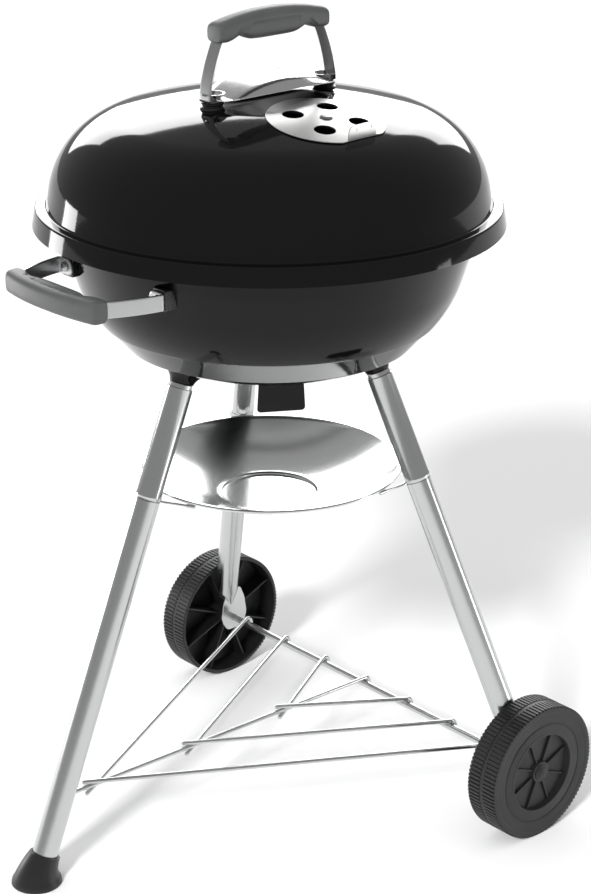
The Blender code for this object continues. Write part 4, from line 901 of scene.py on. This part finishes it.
def wheel_section(tread):
    """Closed section (r, x) of the wheel where the tread's radius is tread."""
    inner = PADDLE_T / 2 + GAP - WHEEL_STAND
    bore = AXLE_R + GAP
    face = WHEEL_HALF - 0.0005
    edge = tread - 0.0005
    band = WHEEL_R - 0.0008
    hub = rounded([(bore, WHEEL_HALF - HUB_SINK), (bore, inner), (HUB_R, inner), (HUB_R, WEB),
                   (HOLLOW_R, WEB), (HOLLOW_R, -WHEEL_HALF), (edge, -WHEEL_HALF)], 0.0008, 2)
    rows = [(tread, -WHEEL_HALF + 0.0006), (tread, -0.0026), (band, -0.0022), (band, 0.0022),
            (tread, 0.0026), (tread, WHEEL_HALF - 0.0006)]
    rim = rounded([(edge, WHEEL_HALF), (0.0700, WHEEL_HALF), (0.0688, face), (0.0582, face),
                   (0.0576, face - 0.0009), (0.0564, face - 0.0009), (0.0558, face),
                   (0.0470, face), (0.0462, WHEEL_HALF), (RECESS_R, WHEEL_HALF),
                   (RECESS_R - 0.0010, RECESS_FLOOR), (HUB_R + 0.0006, RECESS_FLOOR),
                   (HUB_R, WHEEL_HALF - HUB_SINK), (bore, WHEEL_HALF - HUB_SINK)], 0.0007, 2)
    return hub[:-1] + [(edge, -WHEEL_HALF)] + rows + rim[:-1]


def wheel_mesh(name, mat):
    """Tread, faces and hub as one skin round the axle, then the ribs on both sides."""
    rings = []
    pitch = 2 * math.pi / TREAD_BLOCKS
    high = wheel_section(WHEEL_R)
    low = wheel_section(WHEEL_R - TREAD_DEPTH)
    for k in range(TREAD_BLOCKS):
        for share, section in ((0.03, high), (0.60, high), (0.67, low), (0.96, low)):
            a = pitch * (k + share)
            rings.append([(r * math.cos(a), r * math.sin(a), x) for r, x in section])
    parts = [loft("skin", rings, mat, closed=True)]
    for i in range(8):
        turn = Matrix.Rotation(2 * math.pi * (i + 0.5) / 8, 4, "Z")
        spans = ((HUB_R - 0.0004, RECESS_R, RECESS_FLOOR - 0.0004, WHEEL_HALF - 0.0042, 0.0018),
                 (HUB_R - 0.0004, HOLLOW_R + 0.0004, -0.0134, WEB + 0.0004, RIB_T))
        for start, end, foot_x, head_x, thick in spans:
            outline = [(start, foot_x), (end, foot_x), (end, head_x), (start, head_x)]
            slim = 0.0005
            inner = [(start, foot_x), (end, foot_x + (slim if foot_x < 0 else 0)),
                     (end, head_x - (0 if foot_x < 0 else slim)), (start, head_x)]
            levels = [(-thick / 2, inner), (-thick / 2 + slim, outline),
                      (thick / 2 - slim, outline), (thick / 2, inner)]
            rib = loft("rib", [[(r, w, x) for r, x in shape] for w, shape in levels], mat)
            rib.data.transform(turn)
            parts.append(rib)
    return join_pieces(name, parts)


for side, sign in (("right", 1), ("left", -1)):
    place = Matrix.Translation((sign * (PADDLE_X + WHEEL_STAND), AXLE_Y, AXLE_Z))
    place = place @ Matrix.Rotation(sign * math.pi / 2, 4, "Y")
    wheel = wheel_mesh(f"wheel_{side}_moulded", wheel_black)
    wheel.matrix_world = place
    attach(wheel, f"{side}_wheel")
    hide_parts(f"wheel_{side}")
    hub_face = WHEEL_HALF - HUB_SINK
    bore = AXLE_R + GAP
    outline = [(0.0, hub_face + 0.0042)] + arc((0.0, hub_face - 0.0080), 0.0122, 86, 50, 6)
    outline += [(0.0092, hub_face + 0.0008), (0.0088, hub_face + GAP), (bore, hub_face + GAP),
                (bore, hub_face + 0.0023), (0.0, hub_face + 0.0023)]
    cap = lathe(f"hub_cap_{side}_pushed_on", outline, wheel_black, 48)
    cap.matrix_world = place
    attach(cap, "stand")
    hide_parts(f"hub_cap_{side}")

# ---- Wire rack ------------------------------------------------------------------------------
# Seven straight wires of 5 mm plated steel make the lower rack: a spine from the front leg to
# the axle, and three pairs that spread from it, each hooked over the axle at its far end.
RACK_PITCH = 0.1359
RACK_FIRST = 0.0372
RACK_STUB = 0.0080
hook_reach = AXLE_R + RACK_WIRE_R + GAP
rack_front = AXIS_Y - leg_reach(RACK_FRONT_Z)


def spine_height(y):
    """Height of the spine's middle at y."""
    slope = (AXLE_Z + hook_reach - RACK_FRONT_Z) / (AXLE_Y - rack_front)
    return RACK_FRONT_Z + slope * (y - rack_front)


def axle_hook(x):
    """Points of a wire's end that hooks over the axle at x."""
    return [(x, y, z) for y, z in arc((AXLE_Y, AXLE_Z), hook_reach, 90, -25, 12)]


spine = bar("rack_spine_wire", [(0.0, rack_front + LEG_R - 0.0041, RACK_FRONT_Z)] + axle_hook(0.0),
            RACK_WIRE_R, plated_wire)
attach(spine, "stand")
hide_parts("rack_spine")
for row in range(3):
    y = rack_front + RACK_FIRST + RACK_PITCH * row
    spread = (PADDLE_X - 0.0249) * (3 - row) / 3
    for side, sign in (("right", 1), ("left", -1)):
        crossing = Vector((0.0, y, spine_height(y) + sign * (2 * RACK_WIRE_R + GAP)))
        run = (Vector(axle_hook(sign * spread)[0]) - crossing).normalized()
        wire = bar(f"rack_wire_{side}_{row + 1}_plated",
                   [crossing - run * RACK_STUB] + axle_hook(sign * spread), RACK_WIRE_R,
                   plated_wire)
        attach(wire, "stand")
        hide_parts(f"rack_wire_{side}_{row + 1}")

# ---- Ash catcher and its clips ----------------------------------------------------------------
# The dish is spun from bright aluminised sheet, with a stepped dimple in its middle and its
# rim rolled under. It lies on the thick ends of three wire clips at the legs' joints.
spun_sheet, tree, shader = new_material("bright_spun_aluminium", "#DADBDB", 0.15, 1.0)
coords = add_node(tree, "ShaderNodeTexCoord")
split = add_node(tree, "ShaderNodeSeparateXYZ", {}, {"Vector": coords.outputs["Object"]})
flat_place = add_node(tree, "ShaderNodeCombineXYZ", {}, {"X": split.outputs["X"],
                                                         "Y": split.outputs["Y"]})
spin_r = add_node(tree, "ShaderNodeVectorMath", {"operation": "LENGTH"},
                  {0: flat_place.outputs["Vector"]})
spin_lines = add_node(tree, "ShaderNodeTexNoise", {"noise_dimensions": "1D", "Scale": 900.0,
                                                   "Detail": 2.0},
                      {"W": spin_r.outputs["Value"]})        # spinning rings about 1 mm apart
drive_bump(tree, shader, spin_lines.outputs["Fac"], 0.04, 0.0001)
drive_roughness(tree, shader, spin_lines.outputs["Fac"], 0.12, 0.20)

ASH_SHEET = 0.0012
ASH_DEPTH = 0.0352
ash_low, ash_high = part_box("ash_catcher")
ash_r = (ash_high.x - ash_low.x) / 2
dish_low = JOINT_Z - ASH_DEPTH
DIMPLE_R = 0.0549
inner_r = ash_r - 0.0060
dish = [(0.0, dish_low - 0.0030), (DIMPLE_R - 0.0035, dish_low - 0.0030),
        (DIMPLE_R - 0.0022, dish_low), (DIMPLE_R, dish_low + 0.0006)]
dish = rounded(dish + [(DIMPLE_R + 0.004, dish_low + 0.0007)], 0.0012, 3)[:-1]
for i in range(1, 25):
    t = i / 24
    dish.append((DIMPLE_R + 0.0008 + (inner_r - DIMPLE_R - 0.0008) * t,
                 dish_low + 0.0006 + (ASH_DEPTH - 0.0018) * t - 0.0160 * t * (1 - t)))
dish += [(inner_r + 0.0010, JOINT_Z - 0.0004), (inner_r + 0.0022, JOINT_Z - 0.0002)]
dish += arc((ash_r - 0.0016, JOINT_Z - 0.0016), 0.0016, 90, -60, 7)
under = offset(dish[:-8], -ASH_SHEET)[::-1]
ash_dish = lathe("ash_catcher_spun_dish", dish + [(ash_r - 0.0022, JOINT_Z - 0.0026)] + under,
                 spun_sheet)
ash_dish.matrix_world = kettle_place
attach(ash_dish, "ash_pan")
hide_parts("ash_catcher")

CLIP_R = 0.0013
CLIP_TIP_R = 0.0021
CLIP_ARM = 0.0400
clip_z = JOINT_Z - 0.0030 - GAP - CLIP_TIP_R
clip_near = leg_reach(clip_z) - LEG_R / math.cos(LEG_TILT) - GAP - CLIP_R
clip_tip = math.sqrt((ash_r - CLIP_TIP_R) ** 2 - CLIP_ARM ** 2)
neck_y = CLIP_ARM - 0.0100
neck_x = clip_near + (clip_tip - clip_near) * (neck_y - LEG_R / 2) / (CLIP_ARM - LEG_R / 2)
half = [(clip_near, 0.0), (clip_near, LEG_R / 2), (neck_x, neck_y), (clip_tip, CLIP_ARM)]
half = rounded(half, 0.004, 5)[1:]
arm = half[:-1] + [(neck_x + (clip_tip - neck_x) * s, neck_y + (CLIP_ARM - neck_y) * s)
                   for s in (0.06, 0.14, 0.9, 1.0)]
radii = [CLIP_R] * (len(half) - 1) + [CLIP_R, CLIP_TIP_R, CLIP_TIP_R, CLIP_TIP_R * 0.6]
whole = [(x, -y, clip_z) for x, y in arm[::-1]] + [(x, y, clip_z) for x, y in arm]
for side, turn in leg_turn.items():
    clip = loft(f"ash_clip_{side}_wire", tube_rings(whole, radii[::-1] + radii, 16), plated_wire)
    clip.matrix_world = kettle_place @ Matrix.Rotation(math.radians(turn), 4, "Z")
    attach(clip, "stand")
    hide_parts(f"ash_clip_{side}")

# ---- Lid ------------------------------------------------------------------------------------
# The lid is pressed from the same sheet and enamelled like the bowl: a short wall, a broad
# shoulder and a shallow crown, with a flange and a skirt that drop over the bowl's rolled rim.
LID_LEAN = 10.7
WALL_H = 0.0195
LID_SHOULDER_R = 0.0937
CROWN_ANGLE = 14.7
lid_foot_r = KETTLE_R - WALL_H * math.tan(math.radians(LID_LEAN))
lid_centre = (lid_foot_r - LID_SHOULDER_R * math.cos(math.radians(LID_LEAN)),
              RIM_Z + WALL_H - LID_SHOULDER_R * math.sin(math.radians(LID_LEAN)))
edge_r = lid_centre[0] + LID_SHOULDER_R * math.sin(math.radians(CROWN_ANGLE))
edge_z = lid_centre[1] + LID_SHOULDER_R * math.cos(math.radians(CROWN_ANGLE))
lid_crown_r = edge_r / math.sin(math.radians(CROWN_ANGLE))
lid_crown_z = edge_z - lid_crown_r * math.cos(math.radians(CROWN_ANGLE))


def crown_height(r):
    """Height of the lid's outer skin at distance r from the kettle's axis."""
    return lid_crown_z + math.sqrt(lid_crown_r ** 2 - r ** 2)


flange_r = KETTLE_R + 0.0109
flange = rounded([(flange_r + 0.0037, RIM_Z - 0.0194), (flange_r, RIM_Z), (KETTLE_R, RIM_Z),
                  (lid_foot_r, RIM_Z + WALL_H)], 0.0022, 6)
lid_outside = flange[:-1] + arc(lid_centre, LID_SHOULDER_R, LID_LEAN, 90 - CROWN_ANGLE, 26)
lid_outside += arc((0.0, lid_crown_z), lid_crown_r, 90 - CROWN_ANGLE, 90, 20)[1:]
lid_outside[-1] = (0.0, lid_crown_z + lid_crown_r)
lid = lathe("lid_enamel_shell", lid_outside[::-1] + offset(lid_outside, SHEET), enamel, 192)
lid.matrix_world = kettle_place
DAMPER_DIST = 0.1005
DAMPER_AZ = math.radians(-7)
tilt = math.asin(DAMPER_DIST / lid_crown_r)
damper_spot = kettle_place @ Matrix.Translation((DAMPER_DIST * math.cos(DAMPER_AZ),
                                                 DAMPER_DIST * math.sin(DAMPER_AZ),
                                                 crown_height(DAMPER_DIST)))
damper_spot = damper_spot @ Matrix.Rotation(DAMPER_AZ, 4, "Z") @ Matrix.Rotation(tilt, 4, "Y")
tab_spot = damper_spot @ Matrix.Rotation(math.radians(8), 4, "Z")
carve(lid, ring_of_holes(0.011, 0.033, 4, -0.015, 0.015, tab_spot))
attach(lid, "lid")
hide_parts("lid_shell")

# ---- Lid damper -----------------------------------------------------------------------------
# A bright brushed aluminium disc with four holes turns on a rivet over the lid's vents. Its
# edge is bent up into a finger tab with two small holes.
brushed_disc, tree, shader = new_material("brushed_aluminium_disc", "#CBCBCA", 0.30, 1.0)
disc_grain = grain_node(tree, 1.0, 3.0, (60.0, 2200.0, 60.0))  # brush lines, 0.5 mm apart
drive_bump(tree, shader, disc_grain, 0.12, 0.0001)

disc = domed_disc("lid_damper_brushed_disc", lid_crown_r, -lid_crown_r, 0.0008, DAMPER_T, 0.0596,
                  1, brushed_disc)
disc.matrix_world = damper_spot
tab_base = math.sqrt((lid_crown_r + 0.0008) ** 2 - 0.0525 ** 2) - lid_crown_r + 0.0004
tab = bent_tab("tab", 0.0525, 0.0190, tab_base, tab_base + 0.0145, 0.005, 0.0, 0.0011,
               brushed_disc)
tab.matrix_world = tab_spot
trim_ring = [(0.0535, -0.04), (0.09, -0.04), (0.09, 0.04), (0.0535, 0.04)]
trim = loft("trim", [[(x, y, z) for x, y in trim_ring] for z in (-0.02, 0.02)], None)
trim.matrix_world = tab_spot
carve(disc, [trim])
carve(disc, [tab], "UNION")
eyes = []
for y in (-0.0098, 0.0098):
    eye = lathe("eye", [(0.0, 0.004), (0.0014, 0.004), (0.0014, -0.004), (0.0, -0.004)], None, 24)
    eye.matrix_world = tab_spot @ Matrix.Translation((0.0520, y, tab_base + 0.0095)) @ (
        Matrix.Rotation(math.pi / 2, 4, "Y"))
    eyes.append(eye)
carve(disc, ring_of_holes(0.011, 0.033, 4, -0.015, 0.015, tab_spot) + eyes)
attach(disc, "lid_damper_disc")
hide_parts("lid_damper")

head = 0.0008 + DAMPER_T + GAP
rivet_outline = [(0.0, head + 0.0016), (0.0052, head + 0.0015), (0.0058, head + 0.0011),
                 (0.0060, head + 0.0006), (0.0068, head + 0.0005), (0.0070, head),
                 (0.003, head), (0.003, -0.0020), (0.0048, -0.0020), (0.0048, -0.0034),
                 (0.0, -0.0034)]
rivet = lathe("lid_damper_rivet_head", rounded(rivet_outline, 0.0003), zinc, 48)
rivet.matrix_world = damper_spot
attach(rivet, "lid")
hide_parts("lid_damper_rivet")

# ---- Lid handle -----------------------------------------------------------------------------
# The same bar and grip stand on two waisted spacers. An arched, polished aluminium shield under
# the grip keeps the heat off the hand, and bolts in small cups hold the whole stack.
polished, tree, shader = new_material("polished_rolled_aluminium", "#D2D2D2", 0.16, 1.0)
rolled = grain_node(tree, 30.0, 3.0)  # rolling haze, patches of 3 cm
drive_roughness(tree, shader, rolled, 0.13, 0.21)

SPACER_H = 0.0056
lid_seat_z = crown_height(BOLT_SPAN) + SPACER_H
lid_seat = Matrix.Translation((0.0, AXIS_Y, lid_seat_z)) @ Matrix.Rotation(math.pi / 2, 4, "Z")
lid_strap = strap_mesh("lid_handle_bar", brushed_bar)
lid_strap.matrix_world = lid_seat
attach(lid_strap, "lid")
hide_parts("lid_handle_strap")
lid_grip = grip_mesh("lid_handle_moulded_grip", nylon)
lid_grip.matrix_world = lid_seat
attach(lid_grip, "lid")
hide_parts("lid_handle_grip")

SHIELD_T = 0.0010
SHIELD_FLAT = 0.0660
SHIELD_END = 0.0790
shield_low = STRAP_T + GAP


def shield_ring(u):
    """Section of the leaf-shaped shield at u: level on top, with its long edges rolled down."""
    arch = max(0.0, 1 - (u / SHIELD_FLAT) ** 2)
    half = 0.0205 + 0.0262 * arch
    if abs(u) > SHIELD_FLAT:
        past = (abs(u) - SHIELD_FLAT) / (SHIELD_END - SHIELD_FLAT)
        half = 0.0205 * math.sqrt(max(1 - past ** 2, 0.10))
    upper, lower = [], []
    for i in range(41):
        t = -1 + i / 20
        roll = max(0.0, (abs(t) - 0.62) / 0.38)
        z = shield_low + 0.0165 * arch - 0.0084 * arch * roll ** 2
        upper.append((u, half * t, z + SHIELD_T))
        lower.append((u, half * t, z))
    return upper + lower[::-1]


steps = 72
stations = [SHIELD_END * math.sin(math.pi / 2 * (2 * i / steps - 1)) for i in range(steps + 1)]
shield = loft("lid_heat_shield_arched", [shield_ring(u) for u in stations], polished, sharp=60)
shield.matrix_world = lid_seat
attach(shield, "lid")
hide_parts("lid_heat_shield")

for side, u in (("front", -BOLT_SPAN), ("rear", BOLT_SPAN)):
    spot = lid_seat @ Matrix.Translation((u, 0.0, 0.0))
    spacer_outline = [(0.0, -GAP), (0.0116, -GAP), (0.0124, -0.0009), (0.0108, -0.0023),
                      (0.0102, -0.0030), (0.0108, -0.0038), (0.0126, -0.0050),
                      (0.0134, -0.0085), (0.0, -0.0085)]
    spacer = lathe(f"lid_handle_spacer_{side}_waisted", rounded(spacer_outline, 0.0006, 3),
                   black_resin, 64)
    spacer.matrix_world = spot
    over = lathe("lid_body", offset(lid_outside, -GAP)[::-1] + [(0.0, RIM_Z)], None, 128)
    over.matrix_world = kettle_place
    carve(spacer, [over])
    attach(spacer, "lid")
    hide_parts(f"lid_handle_spacer_{side}")
    head = shield_low + SHIELD_T + GAP
    nut_top = crown_height(BOLT_SPAN + 0.0052) - SHEET - 0.0008 - lid_seat_z
    bolt = bolt_mesh(f"lid_handle_bolt_{side}_domed", head, nut_top - 0.0043, zinc)
    bolt.matrix_world = spot
    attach(bolt, "lid")
    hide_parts(f"lid_handle_bolt_{side}")
    cup_outline = rounded([(0.0062, head - 0.0001), (0.0086, head - 0.0001),
                           (0.0118, head + 0.0042), (0.0126, head + 0.0044),
                           (0.0126, head + 0.0050), (0.0113, head + 0.0050),
                           (0.0080, head + 0.0007), (0.0062, head + 0.0007)], 0.0005, 3, True)
    cup = lathe(f"lid_handle_cup_{side}", cup_outline, polished, 64)
    cup.matrix_world = spot
    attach(cup, "lid")
    hexagon = [(0.0052 * math.cos(math.radians(60 * k)), 0.0052 * math.sin(math.radians(60 * k)))
               for k in range(6)]
    slim = [(x * 0.9, y * 0.9) for x, y in hexagon]
    levels = [(slim, nut_top), (hexagon, nut_top - 0.0005), (hexagon, nut_top - 0.0035),
              (slim, nut_top - 0.0040)]
    nut = loft(f"lid_handle_nut_{side}_hexagon", [[(x, y, z) for x, y in ring]
                                                  for ring, z in levels], zinc)
    nut.matrix_world = spot
    bore_tool = lathe("bore", [(0.0, 0.01), (0.0033, 0.01), (0.0033, -0.04), (0.0, -0.04)], None,
                      32)
    bore_tool.matrix_world = spot
    carve(nut, [bore_tool])
    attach(nut, "lid")
    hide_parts(f"lid_handle_nut_{side}")
